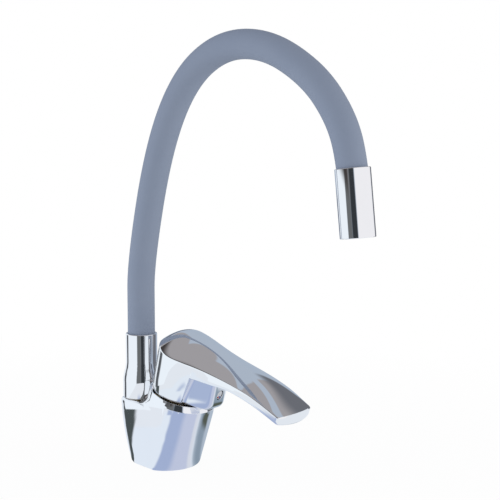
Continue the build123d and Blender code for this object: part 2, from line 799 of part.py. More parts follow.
plug_face = chin_nose_u + chin_bulge - plug_inset
with BuildPart() as indicator_plug:
    with BuildSketch(tower_section(plug_face - plug_length)):
        with Locations((0, screw_height)):
            Circle(plug_radius)
    extrude(amount=plug_length)
    with BuildSketch(tower_section(plug_face - mark_depth)):
        with Locations((mark_offset, screw_height), (-mark_offset, screw_height)):
            Circle(mark_radius)
    extrude(amount=mark_depth, mode=Mode.SUBTRACT)
indicator_plug.part.label = "indicator_plug"

with BuildPart() as hot_mark:
    with BuildSketch(tower_section(plug_face - mark_depth)):
        with Locations((-mark_offset, screw_height)):
            Circle(mark_radius)
    extrude(amount=mark_depth)
hot_mark.part.label = "hot_mark"

with BuildPart() as cold_mark:
    with BuildSketch(tower_section(plug_face - mark_depth)):
        with Locations((mark_offset, screw_height)):
            Circle(mark_radius)
    extrude(amount=mark_depth)
cold_mark.part.label = "cold_mark"

# Spout stem: turned brass with two seal grooves and the catch screw's groove
stem_radius = spout_bore_radius - spout_gap
stem_foot = spout_bore_floor + stem_floor_gap
bore_depth = socket_height - spout_bore_floor
seal_heights = [spout_bore_floor + share * bore_depth for share in seal_shares]
stem_seat = socket_height + slide_ring_height + 2 * slide_ring_gap
seal_floor = spout_bore_radius - seal_squeeze - seal_cord
with BuildPart() as spout_stem:
    with BuildSketch(spout_side):
        with BuildLine():
            Polyline(
                (0, stem_foot),
                (stem_radius, stem_foot),
                (stem_radius, stem_seat),
                (stem_flange_radius, stem_seat),
                (stem_flange_radius, stem_seat + stem_flange_height),
                (stem_shank_radius, stem_seat + stem_flange_height),
                (stem_shank_radius, stem_shank_top),
                (spigot_radius, stem_shank_top),
                (spigot_radius, stem_shank_top + spigot_length),
                (0, stem_shank_top + spigot_length),
                close=True,
            )
        make_face()
    revolve(axis=spout_axis)
    for seal_height in seal_heights:
        with BuildSketch(Plane.XY.offset(seal_height - seal_cord / 2 - seal_groove_play)):
            with Locations((socket_x, 0)):
                Circle(spout_bore_radius)
                Circle(seal_floor, mode=Mode.SUBTRACT)
        extrude(amount=seal_cord + 2 * seal_groove_play, mode=Mode.SUBTRACT)
    with BuildSketch(Plane.XY.offset(catch_height - catch_groove / 2)):
        with Locations((socket_x, 0)):
            Circle(spout_bore_radius)
            Circle(stem_radius - catch_groove_depth, mode=Mode.SUBTRACT)
    extrude(amount=catch_groove, mode=Mode.SUBTRACT)
    with BuildSketch(Plane.XY.offset(stem_foot)):
        with Locations((socket_x, 0)):
            Circle(stem_bore)
    extrude(amount=stem_shank_top + spigot_length - stem_foot, mode=Mode.SUBTRACT)
spout_stem.part.label = "spout_stem"

with BuildPart() as stem_seals:
    for seal_height in seal_heights:
        with BuildSketch(spout_side):
            with Locations((seal_floor + seal_cord / 2, seal_height)):
                Circle(seal_cord / 2)
        revolve(axis=spout_axis)
stem_seals.part.label = "stem_seals"

with BuildPart() as catch_screw:
    catch_tip = socket_x - stem_radius + catch_reach
    with BuildSketch(Plane.YZ.offset(catch_tip)):
        with Locations((0, catch_height)):
            Circle(catch_radius)
    extrude(amount=-catch_reach - spout_gap - catch_radius)
    with BuildSketch(Plane.YZ.offset(catch_tip - catch_reach - spout_gap - catch_radius)):
        with Locations((0, catch_height)):
            Circle(catch_screw_radius)
    extrude(amount=-(catch_screw_length - catch_radius))
    with BuildSketch(Plane.YZ.offset(catch_tip - catch_reach - spout_gap - catch_screw_length)):
        with Locations((0, catch_height)):
            RegularPolygon(screw_hex, 6, major_radius=False)
    extrude(amount=screw_hex_depth, mode=Mode.SUBTRACT)
catch_screw.part.label = "catch_screw"

slide_floor = Plane.XY.offset(socket_height + slide_ring_gap).shift_origin(
    (socket_x, 0, socket_height + slide_ring_gap)
)
slide_ring = ring(slide_floor, stem_flange_radius, stem_radius + ferrule_gap, slide_ring_height)
slide_ring.label = "slide_ring"

# Ferrule: the chromed collar between the body and the sleeve
ferrule_foot = stem_seat
flange_clear = stem_flange_radius + ferrule_gap / 2
sleeve_seat = ferrule_top - sleeve_entry
with BuildPart() as spout_ferrule:
    with BuildSketch(spout_side):
        with BuildLine():
            Line((flange_clear, ferrule_foot), (ferrule_radius_low, ferrule_foot))
            Line((ferrule_radius_low, ferrule_foot), (ferrule_radius_low, ferrule_step_start))
            step_mid = (ferrule_step_start + ferrule_step_end) / 2
            Spline(
                (ferrule_radius_low, ferrule_step_start),
                ((ferrule_radius_low + ferrule_radius_top) / 2, step_mid),
                (ferrule_radius_top, ferrule_step_end),
                tangents=[(0, 1), (0, 1)],
            )
            Line((ferrule_radius_top, ferrule_step_end), (ferrule_radius_top, ferrule_top))
            Polyline(
                (ferrule_radius_top, ferrule_top),
                (sleeve_radius + sleeve_gap, ferrule_top),
                (sleeve_radius + sleeve_gap, sleeve_seat - end_gap),
                (core_radius + sleeve_gap, sleeve_seat - end_gap),
                (core_radius + sleeve_gap, stem_seat + stem_flange_height + end_gap),
                (flange_clear, stem_seat + stem_flange_height + end_gap),
                (flange_clear, ferrule_foot),
            )
        make_face()
    revolve(axis=spout_axis)
    top_rim = spout_ferrule.edges().filter_by(GeomType.CIRCLE).group_by(Axis.Z)[-1]
    fillet(top_rim.sort_by(SortBy.RADIUS)[-1], ferrule_lip)
spout_ferrule.part.label = "spout_ferrule"

# The neck's line: straight runs joined by tangent arcs, from ferrule to outlet
outlet_mouth = Vector(outlet_x, 0, outlet_z)
last_bend = Vector(spout_route[-1][0], 0, spout_route[-1][1])
outlet_up = (last_bend - outlet_mouth).normalized()
outlet = Plane(origin=outlet_mouth, x_dir=Vector(0, 1, 0), z_dir=outlet_up)
bends = [Vector(x, 0, z) for x, z in spout_route]
neck_foot = Vector(socket_x, 0, stem_shank_top + end_gap)
neck_tip = outlet_mouth + outlet_up * neck_end
route = [neck_foot] + bends + [neck_tip]
runs = [(after - before).length for before, after in zip(route, route[1:])]
bend_radii = []
for before, corner, after, run_in, run_out in zip(route, route[1:], route[2:], runs, runs[1:]):
    turned = (corner - before).get_angle(after - corner)
    bend_radii.append(arc_share * min(run_in, run_out) / math.tan(math.radians(turned / 2)))
print("neck radii:", [round(radius, 1) for radius in bend_radii])


def neck_tube(points, radii, radius, bore):
    """A tube along part of the neck's line."""
    with BuildPart() as made:
        with BuildLine() as line:
            FilletPolyline(*points, radius=radii)
        with BuildSketch(Plane(origin=line.wire() @ 0, z_dir=line.wire() % 0)):
            Circle(radius)
            Circle(bore, mode=Mode.SUBTRACT)
        sweep()
    length = line.wire().length
    expected = math.pi * (radius**2 - bore**2) * length
    print("tube length", round(length, 1), "volume share", round(made.part.volume / expected, 4))
    return made.part


arch_start = (bends[2] + bends[3]) / 2
arch_end = (bends[4] + bends[5]) / 2
sleeve_foot = Vector(socket_x, 0, sleeve_seat)
sleeve_bore = sleeve_radius - sleeve_wall
sleeve_riser = neck_tube(
    [sleeve_foot] + bends[:3] + [arch_start], bend_radii[:3], sleeve_radius, sleeve_bore
)
sleeve_riser.label = "sleeve_riser"
sleeve_arch = neck_tube(
    [arch_start] + bends[3:5] + [arch_end], bend_radii[3:5], sleeve_radius, sleeve_bore
)
sleeve_arch.label = "sleeve_arch"
sleeve_drop = neck_tube(
    [arch_end] + bends[5:] + [neck_tip], bend_radii[5:], sleeve_radius, sleeve_bore
)
sleeve_drop.label = "sleeve_drop"
gooseneck_core = neck_tube(route, bend_radii, core_radius, core_radius - core_wall)
gooseneck_core.label = "gooseneck_core"
water_hose = neck_tube(route, bend_radii, hose_radius, hose_radius - hose_wall)
water_hose.label = "water_hose"

crimp_floor = Plane.XY.offset(neck_foot.Z + end_gap).shift_origin(
    (socket_x, 0, neck_foot.Z + end_gap)
)
hose_crimp_lower = ring(crimp_floor, crimp_radius, hose_radius + spout_gap, crimp_length)
hose_crimp_lower.label = "hose_crimp_lower"
crimp_seat = outlet.offset(neck_end + end_gap)
hose_crimp_upper = ring(crimp_seat, crimp_radius, hose_radius + spout_gap, crimp_length)
hose_crimp_upper.label = "hose_crimp_upper"

# Outlet: chromed shell, brass adapter and the aerator's stack
outlet_side = Plane(origin=outlet_mouth, x_dir=(0, 1, 0), z_dir=outlet.x_dir.cross(outlet_up))
outlet_axis = Axis(outlet_mouth, outlet_up)
with BuildPart() as outlet_shell:
    with BuildSketch(outlet_side):
        with BuildLine():
            collar_foot = outlet_length - outlet_collar
            Polyline(
                (outlet_radius - outlet_wall, 0),
                (outlet_radius, 0),
                (outlet_radius, outlet_length),
                (sleeve_radius + sleeve_gap, outlet_length),
                (sleeve_radius + sleeve_gap, collar_foot),
                (outlet_radius - outlet_wall, collar_foot),
                close=True,
            )
        make_face()
    revolve(axis=outlet_axis)
    shell_rims = outlet_shell.edges().filter_by(GeomType.CIRCLE).group_by(outlet_axis)
    fillet(shell_rims[-1].sort_by(SortBy.RADIUS)[-1], outlet_lip)
    fillet(shell_rims[0].sort_by(SortBy.RADIUS)[-1], outlet_lip)
outlet_shell.part.label = "outlet_shell"

adapter_top = neck_end - end_gap
with BuildPart() as outlet_adapter:
    with BuildSketch(outlet_side):
        with BuildLine():
            adapter_foot = adapter_top - adapter_height
            Polyline(
                (stem_bore, adapter_foot - adapter_neck_length),
                (adapter_neck_radius, adapter_foot - adapter_neck_length),
                (adapter_neck_radius, adapter_foot),
                (adapter_radius, adapter_foot),
                (adapter_radius, adapter_top),
                (spigot_radius, adapter_top),
                (spigot_radius, adapter_top + spigot_length),
                (stem_bore, adapter_top + spigot_length),
                close=True,
            )
        make_face()
    revolve(axis=outlet_axis)
outlet_adapter.part.label = "outlet_adapter"

with BuildPart() as aerator_housing:
    with BuildSketch(outlet_side):
        with BuildLine():
            lip_top = aerator_inset + aerator_lip
            aerator_top = aerator_inset + aerator_height
            Polyline(
                (aerator_lip_radius, aerator_inset),
                (aerator_radius, aerator_inset),
                (aerator_radius, aerator_top),
                (aerator_radius - aerator_wall, aerator_top),
                (aerator_radius - aerator_wall, lip_top),
                (aerator_lip_radius, lip_top),
                close=True,
            )
        make_face()
    revolve(axis=outlet_axis)
aerator_housing.part.label = "aerator_housing"

# Hexagonal pattern of water holes in the aerator's lower disc
insert_radius = aerator_radius - aerator_wall - stack_gap
straightener_floor = lip_top + stack_gap
with BuildPart() as flow_straightener:
    with BuildSketch(outlet.offset(straightener_floor)):
        Circle(insert_radius)
        Circle(straightener_hole, mode=Mode.SUBTRACT)
        with PolarLocations(straightener_pitch, 6):
            Circle(straightener_hole, mode=Mode.SUBTRACT)
        with PolarLocations(2 * straightener_pitch, 12):
            Circle(straightener_hole, mode=Mode.SUBTRACT)
    extrude(amount=straightener_height)
flow_straightener.part.label = "flow_straightener"

screen_floor = straightener_floor + straightener_height + stack_gap
with BuildPart() as aerator_screen:
    with BuildSketch(outlet.offset(screen_floor)):
        Circle(insert_radius)
        with GridLocations(straightener_pitch, straightener_pitch, 4, 4):
            Rectangle(2 * straightener_hole, 2 * straightener_hole, mode=Mode.SUBTRACT)
    extrude(amount=screen_height)
aerator_screen.part.label = "aerator_screen"

washer_floor = screen_floor + screen_height + stack_gap
aerator_washer = ring(outlet.offset(washer_floor), insert_radius, washer_bore, washer_height)
aerator_washer.label = "aerator_washer"

os.makedirs("parts", exist_ok=True)
for built in (
    mixer_body, base_gasket, cartridge_base, port_seals, fixed_ceramic_disc,
    moving_ceramic_disc, disc_carrier, cartridge_housing, lever_carrier, carrier_seal,
    pivot_pin, lever_stem, cartridge_nut, lever_handle, handle_screw, indicator_plug,
    hot_mark, cold_mark, spout_stem, stem_seals, catch_screw, spout_ferrule,
    outlet_shell, outlet_adapter, aerator_housing, flow_straightener, aerator_screen,
):
    export_step(built.part, f"parts/{built.part.label}.step")
for solid in (
    slide_ring, sleeve_riser, sleeve_arch, sleeve_drop, gooseneck_core, water_hose,
    hose_crimp_lower, hose_crimp_upper, aerator_washer,
):
    export_step(solid, f"parts/{solid.label}.step")
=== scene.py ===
import json
import math

import bmesh
import bpy
import numpy as np
from mathutils import Matrix, Vector

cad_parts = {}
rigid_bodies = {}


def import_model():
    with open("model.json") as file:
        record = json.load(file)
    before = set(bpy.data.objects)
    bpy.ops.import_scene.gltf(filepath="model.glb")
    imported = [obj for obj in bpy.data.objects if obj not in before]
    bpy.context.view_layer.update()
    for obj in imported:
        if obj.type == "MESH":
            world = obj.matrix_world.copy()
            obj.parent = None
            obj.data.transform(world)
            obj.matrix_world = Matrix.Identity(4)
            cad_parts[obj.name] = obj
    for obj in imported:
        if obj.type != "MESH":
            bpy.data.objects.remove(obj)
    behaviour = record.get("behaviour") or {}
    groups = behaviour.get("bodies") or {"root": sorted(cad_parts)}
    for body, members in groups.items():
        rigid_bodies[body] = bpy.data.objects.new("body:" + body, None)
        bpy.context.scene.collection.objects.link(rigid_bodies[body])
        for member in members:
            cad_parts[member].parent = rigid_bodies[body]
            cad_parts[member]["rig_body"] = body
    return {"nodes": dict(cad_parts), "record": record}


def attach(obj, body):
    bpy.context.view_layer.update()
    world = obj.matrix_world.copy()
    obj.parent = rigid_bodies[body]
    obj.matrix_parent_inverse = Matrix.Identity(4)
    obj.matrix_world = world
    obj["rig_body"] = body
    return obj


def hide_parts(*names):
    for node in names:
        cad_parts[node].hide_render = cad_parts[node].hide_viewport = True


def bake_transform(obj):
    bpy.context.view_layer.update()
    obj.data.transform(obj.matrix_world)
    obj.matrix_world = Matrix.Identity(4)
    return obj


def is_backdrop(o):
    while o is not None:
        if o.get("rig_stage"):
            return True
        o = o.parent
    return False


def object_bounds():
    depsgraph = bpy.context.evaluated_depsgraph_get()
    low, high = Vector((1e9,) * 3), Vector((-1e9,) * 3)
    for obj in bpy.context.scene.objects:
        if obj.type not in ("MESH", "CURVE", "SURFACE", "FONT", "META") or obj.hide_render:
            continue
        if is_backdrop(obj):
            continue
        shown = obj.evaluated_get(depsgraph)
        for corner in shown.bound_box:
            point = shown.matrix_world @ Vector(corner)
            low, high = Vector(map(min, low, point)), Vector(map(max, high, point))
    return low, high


# %% [markdown]
# # A kitchen tap with a bendable neck
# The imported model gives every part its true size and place, and this script gives it its looks.
# The box of the whole model is kept from the start, so that the dressed tap can be held against it at the end.

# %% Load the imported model
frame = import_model()
nodes = frame["nodes"]
cad_box = [list(corner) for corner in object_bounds()]
print("CAD box in metres:", [[round(value, 4) for value in corner] for corner in cad_box])

# %% [markdown]
# ## Sizes
# The tap was drawn in millimetres, and Blender works in metres. The tower that carries the lever leans forward,
# so the lever is easiest to draw in the tower's own directions: forward, across and up along the tower.

# %% Millimetres and the tower's directions
MM = 0.001
TOWER_LEAN = math.radians(16.5)
TOWER_FORWARD = np.array([math.cos(TOWER_LEAN), 0.0, -math.sin(TOWER_LEAN)])
TOWER_ACROSS = np.array([0.0, 1.0, 0.0])
TOWER_UP = np.array([math.sin(TOWER_LEAN), 0.0, math.cos(TOWER_LEAN)])


def from_tower(points):
    """Points as (forward, across, up) in millimetres along the tower, in metres in the tap's frame."""
    points = np.asarray(points, float)
    return (
        points[..., :1] * TOWER_FORWARD + points[..., 1:2] * TOWER_ACROSS + points[..., 2:] * TOWER_UP
    ) * MM


# %% [markdown]
# ## Camera
# The photograph was taken from the tap's right, a little above the outlet's height. The camera's place comes from
# the widths of the round parts and the slant of the foot's ellipse.

# %% Camera
CAMERA_AZIMUTH = math.radians(36.5)
CAMERA_PITCH = math.radians(5.6)
CAMERA_PLACE = Vector((547.76, -625.36, 253.12)) * MM
CAMERA_LENS = 75.6
right = Vector((math.cos(CAMERA_AZIMUTH), math.sin(CAMERA_AZIMUTH), 0))
back = Vector(
    (
        math.sin(CAMERA_AZIMUTH) * math.cos(CAMERA_PITCH),
        -math.cos(CAMERA_AZIMUTH) * math.cos(CAMERA_PITCH),
        math.sin(CAMERA_PITCH),
    )
)
camera_data = bpy.data.cameras.new("camera")
camera_data.sensor_width = 36
camera_data.lens = CAMERA_LENS
camera_data.clip_start = 0.01
camera = bpy.data.objects.new("camera", camera_data)
bpy.context.scene.collection.objects.link(camera)
camera.matrix_world = Matrix.Translation(CAMERA_PLACE) @ Matrix(
    (right, back.cross(right), back)
).transposed().to_4x4()
bpy.context.scene.camera = camera
print("camera at", [round(value, 3) for value in camera.matrix_world.translation])

# %% [markdown]
# ## A small language for materials
# A material is a sum on the surface: a scratch here, a little dust there. Blender writes such sums as nodes and
# links. The class below wraps one socket, so that the sum can be read as an ordinary expression.


# %% Sockets as values
class Value:
    """One output socket of a node tree, with the arithmetic that adds the nodes for it."""

    def __init__(self, tree, socket):
        self.tree, self.socket = tree, socket

    def _math(self, operation, *values, clamp=False):
        made = add_node(self.tree, "ShaderNodeMath", {"operation": operation, "use_clamp": clamp})
        for place, value in enumerate(values):
            feed(self.tree, made.inputs[place], value)
        return Value(self.tree, made.outputs[0])

    def __add__(self, other):
        return self._math("ADD", self, other)

    __radd__ = __add__

    def __sub__(self, other):
        return self._math("SUBTRACT", self, other)

    def __rsub__(self, other):
        return self._math("SUBTRACT", other, self)

    def __mul__(self, other):
        return self._math("MULTIPLY", self, other)

    __rmul__ = __mul__

    def __truediv__(self, other):
        return self._math("DIVIDE", self, other)

    def power(self, exponent):
        return self._math("POWER", self, exponent)

    def clamped(self):
        return self._math("ADD", self, 0.0, clamp=True)

    def between(self, low, high):
        """0 below low, 1 above high, and a smooth step from one to the other."""
        made = add_node(self.tree, "ShaderNodeMapRange", {"interpolation_type": "SMOOTHSTEP"})
        for name, value in (("Value", self), ("From Min", low), ("From Max", high)):
            feed(self.tree, made.inputs[name], value)
        return Value(self.tree, made.outputs[0])


def feed(tree, socket, value):
    """Links a value into a socket, or sets the socket's own number or colour."""
    if isinstance(value, Value):
        tree.links.new(value.socket, socket)
    else:
        socket.default_value = value


def add_node(tree, kind, settings=(), **inputs):
    """Adds a node: its settings first, then its inputs, whose spaces are written as underscores."""
    made = tree.nodes.new(kind)
    for name, value in dict(settings).items():
        setattr(made, name, value)
    for name, value in inputs.items():
        feed(tree, made.inputs[name.replace("_", " ")], value)
    return made


def mixed_colours(tree, share, under, over):
    """One colour, and another over it where the share is 1."""
    made = add_node(tree, "ShaderNodeMix", {"data_type": "RGBA"})
    # A Mix node's colour sockets share their names with its number sockets, so they go by place
    for place, value in zip((0, 6, 7), (share, under, over)):
        feed(tree, made.inputs[place], value)
    return Value(tree, made.outputs[2])


class Finish:
    """A material under way: its tree, its Principled shader, and the patterns that it can use."""

    def __init__(self, name, **sockets):
        self.material = bpy.data.materials.new(name)
        self.material.use_nodes = True
        self.tree = self.material.node_tree
        self.shader = self.tree.nodes["Principled BSDF"]
        place = add_node(self.tree, "ShaderNodeTexCoord")
        self.place = Value(self.tree, place.outputs["Object"])
        self.set(**sockets)

    def set(self, **sockets):
        for name, value in sockets.items():
            feed(self.tree, self.shader.inputs[name.replace("_", " ")], value)

    def stretched(self, x=1.0, y=1.0, z=1.0):
        made = add_node(self.tree, "ShaderNodeMapping", Vector=self.place, Scale=(x, y, z))
        return Value(self.tree, made.outputs[0])

    def noise(self, per_metre, detail=2.0, roughness=0.5, at=None):
        made = add_node(
            self.tree, "ShaderNodeTexNoise", Vector=at or self.place, Scale=per_metre,
            Detail=detail, Roughness=roughness,
        )
        return Value(self.tree, made.outputs["Fac"])

    def mixed(self, share, first, second):
        return mixed_colours(self.tree, share, first, second)

    def bumped(self, height, distance, strength=1.0):
        made = add_node(
            self.tree, "ShaderNodeBump", Height=height, Distance=distance, Strength=strength
        )
        self.set(Normal=Value(self.tree, made.outputs[0]))


# %% [markdown]
# ## Chrome
# Chrome plating is a mirror with almost no colour of its own. What keeps it from looking like a drawing is what
# happens to it in a kitchen: faint wiping haze and dried water film, which change its roughness a little, and the
# slight waviness of the polished casting below the plating.

# %% Chrome finishes


def chrome(name, tint, haze_per_metre, wave=0.000004):
    finish = Finish(name, Metallic=1.0)
    haze = finish.noise(haze_per_metre, detail=4.0, roughness=0.6).between(0.45, 0.8)
    film = finish.noise(400.0, detail=3.0).between(0.55, 0.85)
    finish.set(
        Base_Color=finish.mixed(0.35 * haze, (*tint, 1), (*[0.97 * value for value in tint], 1)),
        Roughness=0.02 + 0.03 * haze + 0.02 * film,
    )
    finish.bumped(finish.noise(30.0, detail=1.0), wave)
    return finish.material


CHROMES = {
    "body_chrome": ((0.93, 0.94, 0.96), 60.0),
    "handle_chrome": ((0.93, 0.94, 0.95), 60.0),
    "ferrule_chrome": ((0.93, 0.93, 0.94), 90.0),
    "outlet_chrome": ((0.93, 0.93, 0.94), 90.0),
}
finishes = {name: chrome(name, tint, haze) for name, (tint, haze) in CHROMES.items()}
print("chrome finishes:", len(finishes))

# %% [markdown]
# ## Silicone sleeve
# The neck's sleeve is extruded silicone: a soft blue-grey with no gloss, a very fine grain, and dust that clings to
# it. The rubber scatters light just under its skin, so a low specular level and a high roughness stand for it.

# %% Silicone


def silicone():
    finish = Finish("sleeve_silicone", Specular_IOR_Level=0.28)
    cloud = finish.noise(45.0, detail=5.0, roughness=0.6)
    grain = finish.noise(2600.0, detail=2.0)
    dust = finish.noise(900.0, detail=3.0).between(0.62, 0.8)
    deep, pale = (0.203, 0.244, 0.328, 1), (0.230, 0.271, 0.354, 1)
    base = finish.mixed(cloud, deep, pale)
    finish.set(
        Base_Color=finish.mixed(0.12 * dust, base, (0.36, 0.37, 0.39, 1)),
        Roughness=0.56 + 0.1 * cloud + 0.06 * grain,
    )
    finish.bumped(grain, 0.00003, 0.5)
    return finish.material


finishes["sleeve_silicone"] = silicone()
print("silicone nodes:", len(finishes["sleeve_silicone"].node_tree.nodes))

# %% [markdown]
# ## Finishes of the inner parts
# Most of these are hidden until the lever lifts, but each one is still the material that such a part is made of:
# turned brass with its tool marks, bright steel, moulded plastic, lapped ceramic and black seal rubber.

# %% Inner finishes


def metal(name, colour, turned_per_metre, roughness):
    """Bright metal with fine tool marks that run round the piece's height."""
    finish = Finish(name, Metallic=1.0)
    marks = finish.noise(1.0, detail=3.0, at=finish.stretched(60, 60, turned_per_metre))
    stain = finish.noise(120.0, detail=4.0).between(0.5, 0.75)
    finish.set(
        Base_Color=finish.mixed(0.3 * stain, (*colour, 1), (*[0.75 * value for value in colour], 1)),
        Roughness=roughness + 0.12 * marks + 0.08 * stain,
    )
    finish.bumped(marks, 0.00002)
    return finish.material


def moulded(name, colour, roughness, grain_per_metre=900.0, specular=0.45):
    """Moulded plastic or rubber: an even colour, a faint cloud in it and a fine grain on it."""
    finish = Finish(name, Specular_IOR_Level=specular)
    cloud = finish.noise(150.0, detail=3.0)
    grain = finish.noise(grain_per_metre, detail=2.0)
    finish.set(
        Base_Color=finish.mixed(cloud, (*[0.88 * value for value in colour], 1), (*colour, 1)),
        Roughness=roughness + 0.1 * grain,
    )
    finish.bumped(grain, 0.00002)
    return finish.material


MOULDED = {
    "hose_rubber": ((0.035, 0.035, 0.037), 0.5),
    "seal_rubber": ((0.02, 0.02, 0.021), 0.55),
    "cartridge_plastic": ((0.78, 0.78, 0.74), 0.4),
    "carrier_plastic": ((0.10, 0.18, 0.38), 0.42),
    "disc_ceramic": ((0.86, 0.86, 0.83), 0.12),
    "slide_plastic": ((0.85, 0.85, 0.84), 0.35),
    "aerator_plastic": ((0.62, 0.64, 0.65), 0.35),
    "straightener_plastic": ((0.80, 0.82, 0.84), 0.3),
    "plug_plastic": ((0.72, 0.73, 0.75), 0.16),
    "hot_red": ((0.42, 0.012, 0.012), 0.22),
    "cold_blue": ((0.015, 0.05, 0.36), 0.22),
}
finishes.update({name: moulded(name, *look) for name, look in MOULDED.items()})
finishes["brass"] = metal("turned_brass", (0.78, 0.58, 0.30), 4000, 0.18)
finishes["steel"] = metal("bright_steel", (0.62, 0.62, 0.63), 3000, 0.2)
slot_of = {row["node"]: row["material_slot"] for row in frame["record"]["subparts"]}
for name, node in nodes.items():
    node.data.materials.clear()
    node.data.materials.append(finishes[slot_of[name]])
print("finishes:", len(finishes))

# %% [markdown]
# ## Making pieces
# Every new piece is a plain mesh whose points are already in their place, with its object at the origin. A piece is
# told which body it moves with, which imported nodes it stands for, and which of the record's finishes it wears.

# %% Helpers for pieces
MERGE_DISTANCE = 0.002 * MM


def merged(mesh, tidied=True):
    """Merges the points that coincide, and for a drawn mesh also turns its faces outwards."""
    working = bmesh.new()
    working.from_mesh(mesh)
    bmesh.ops.remove_doubles(working, verts=working.verts, dist=MERGE_DISTANCE)
    if tidied:
        bmesh.ops.dissolve_degenerate(working, edges=working.edges, dist=1e-7)
        bmesh.ops.recalc_face_normals(working, faces=working.faces)
    working.to_mesh(mesh)
    working.free()


def new_piece(name, vertices, faces, slot, body, *stands_for, sharp=35.0):
    """A mesh piece in metres, merged, turned outwards, and shaded smooth up to an angle in degrees."""
    mesh = bpy.data.meshes.new(name)
    mesh.from_pydata([tuple(point) for point in vertices], [], faces)
    merged(mesh)
    return dress(mesh, name, slot, body, *stands_for, sharp=sharp)


def dress(mesh, name, slot, body, *stands_for, sharp=35.0):
    """Puts a finished mesh in the scene as a piece of the tap."""
    mesh.materials.clear()
    mesh.materials.append(finishes[slot])
    mesh.polygons.foreach_set("use_smooth", [True] * len(mesh.polygons))
    mesh.set_sharp_from_angle(angle=math.radians(sharp))
    piece = bpy.data.objects.new(name, mesh)
    bpy.context.scene.collection.objects.link(piece)
    if isinstance(body, str):
        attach(piece, body)
    if stands_for:
        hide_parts(*stands_for)
    open_edges = sum(1 for edge in mesh_edges(mesh) if edge != 2)
    print(name, "faces:", len(mesh.polygons), "open edges:", open_edges)
    return piece


def mesh_edges(mesh):
    """How many faces meet at each edge."""
    counts = np.zeros(len(mesh.edges), int)
    loops = np.empty(len(mesh.loops), int)
    mesh.loops.foreach_get("edge_index", loops)
    np.add.at(counts, loops, 1)
    return counts


# %% [markdown]
# ## Polished copies of the cast and turned parts
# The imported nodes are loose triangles. On a mirror that shows, because light is reflected by each triangle on its
# own. A copy with its points merged can be shaded smooth, and the Weighted Normal modifier lets the large faces
# decide which way the surface points, so flats stay flat and the rounded edges take all of the turn.


# %% Copy a node and polish it
def polished(node_name, name, sharp=28.0):
    """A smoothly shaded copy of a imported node, in its place."""
    slot, body = slot_of[node_name], nodes[node_name]["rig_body"]
    mesh = nodes[node_name].data.copy()
    mesh.name = name
    merged(mesh, tidied=False)
    piece = dress(mesh, name, slot, body, node_name, sharp=sharp)
    weighted = piece.modifiers.new("weighted", "WEIGHTED_NORMAL")
    weighted.keep_sharp = True
    weighted.weight = 90
    return piece


tap_casting = polished("mixer_body", "tap_casting")
collar = polished("spout_ferrule", "collar")
outlet_tube = polished("outlet_shell", "outlet_tube")

# %% [markdown]
# ## The lever
# The handle is one casting: a round dome that runs into a long crowned blade with a slight waist. Its top is a
# height above a plan, so it is drawn as one. The plan's outline starts behind the dome, runs along one side, turns
# a small corner and ends at the middle of the tip, and the other side mirrors it. The three curves along the lever
# are Bezier curves, which stay smooth enough for a mirror.

# %% Curves along the lever
HEAD_RADIUS = 25.68
REACH = 105.0
CORNER_RADIUS = 3.0
TIP_BULGE = 3.6
HALF_WIDTHS = (25.68, 25.68, 8.92, 29.27, 23.78, 22.07, 21.17)
RIM_HEIGHTS = (96.35, 96.35, 96.2, 98.16, 104.29, 95.84, 92.66)
CROWNS = (18.3, 18.3, 15.2, 5.5, 11.0, 4.2, 3.0)
CROWN_TURN = 0.4
REAR_RISE = 3.2


def along(controls, forward):
    """A Bezier curve's value at a distance along the lever."""
    t = np.clip(np.asarray(forward, float) / REACH, 0, 1.05)
    degree = len(controls) - 1
    return sum(
        math.comb(degree, k) * t**k * (1 - t) ** (degree - k) * value for k, value in enumerate(controls)
    )


def smooth(value, low, high):
    """0 below low, 1 above high, and a smooth step between, in numbers."""
    t = np.clip((np.asarray(value, float) - low) / (high - low), 0, 1)
    return t * t * (3 - 2 * t)


def half_width(forward):
    forward = np.asarray(forward, float)
    round_part = np.sqrt(np.clip(HEAD_RADIUS**2 - np.minimum(forward, 0) ** 2, 0, None))
    return np.where(forward < 0, round_part, along(HALF_WIDTHS, forward))


def rim_height(forward):
    forward = np.asarray(forward, float)
    return along(RIM_HEIGHTS, forward) + REAR_RISE * np.clip(-forward / HEAD_RADIUS, 0, 1) ** 2


def top_height(forward, across):
    """Height of the lever's top over a place of the plan: the rim's height and the crown on it."""
    forward, across = np.asarray(forward, float), np.asarray(across, float)
    share = np.clip(np.abs(across) / np.maximum(half_width(forward), 1e-6), 0, 1)
    rear = np.clip(-forward / HEAD_RADIUS, 0, 1)
    spread = np.sqrt(1 + CROWN_TURN**2 * (rear**2 + share**2 - (rear * share) ** 2))
    edge = math.sqrt(1 + CROWN_TURN**2)
    crown = along(CROWNS, forward) * (edge - spread) / (edge - 1)
    return rim_height(forward) + crown


print("lever's top at the dome, waist and tip:", [round(float(top_height(u, 0)), 1) for u in (0, 42, REACH)])

# %% [markdown]
# The outline carries, at each of its places, the direction that faces outwards and the point of the spine that the
# top's rows run to. Dense places keep the reflections of the dome and of the corner clean.

# %% Outline of the lever
DOME_PLACES, SIDE_PLACES, CORNER_PLACES, TIP_PLACES = 56, 100, 12, 24


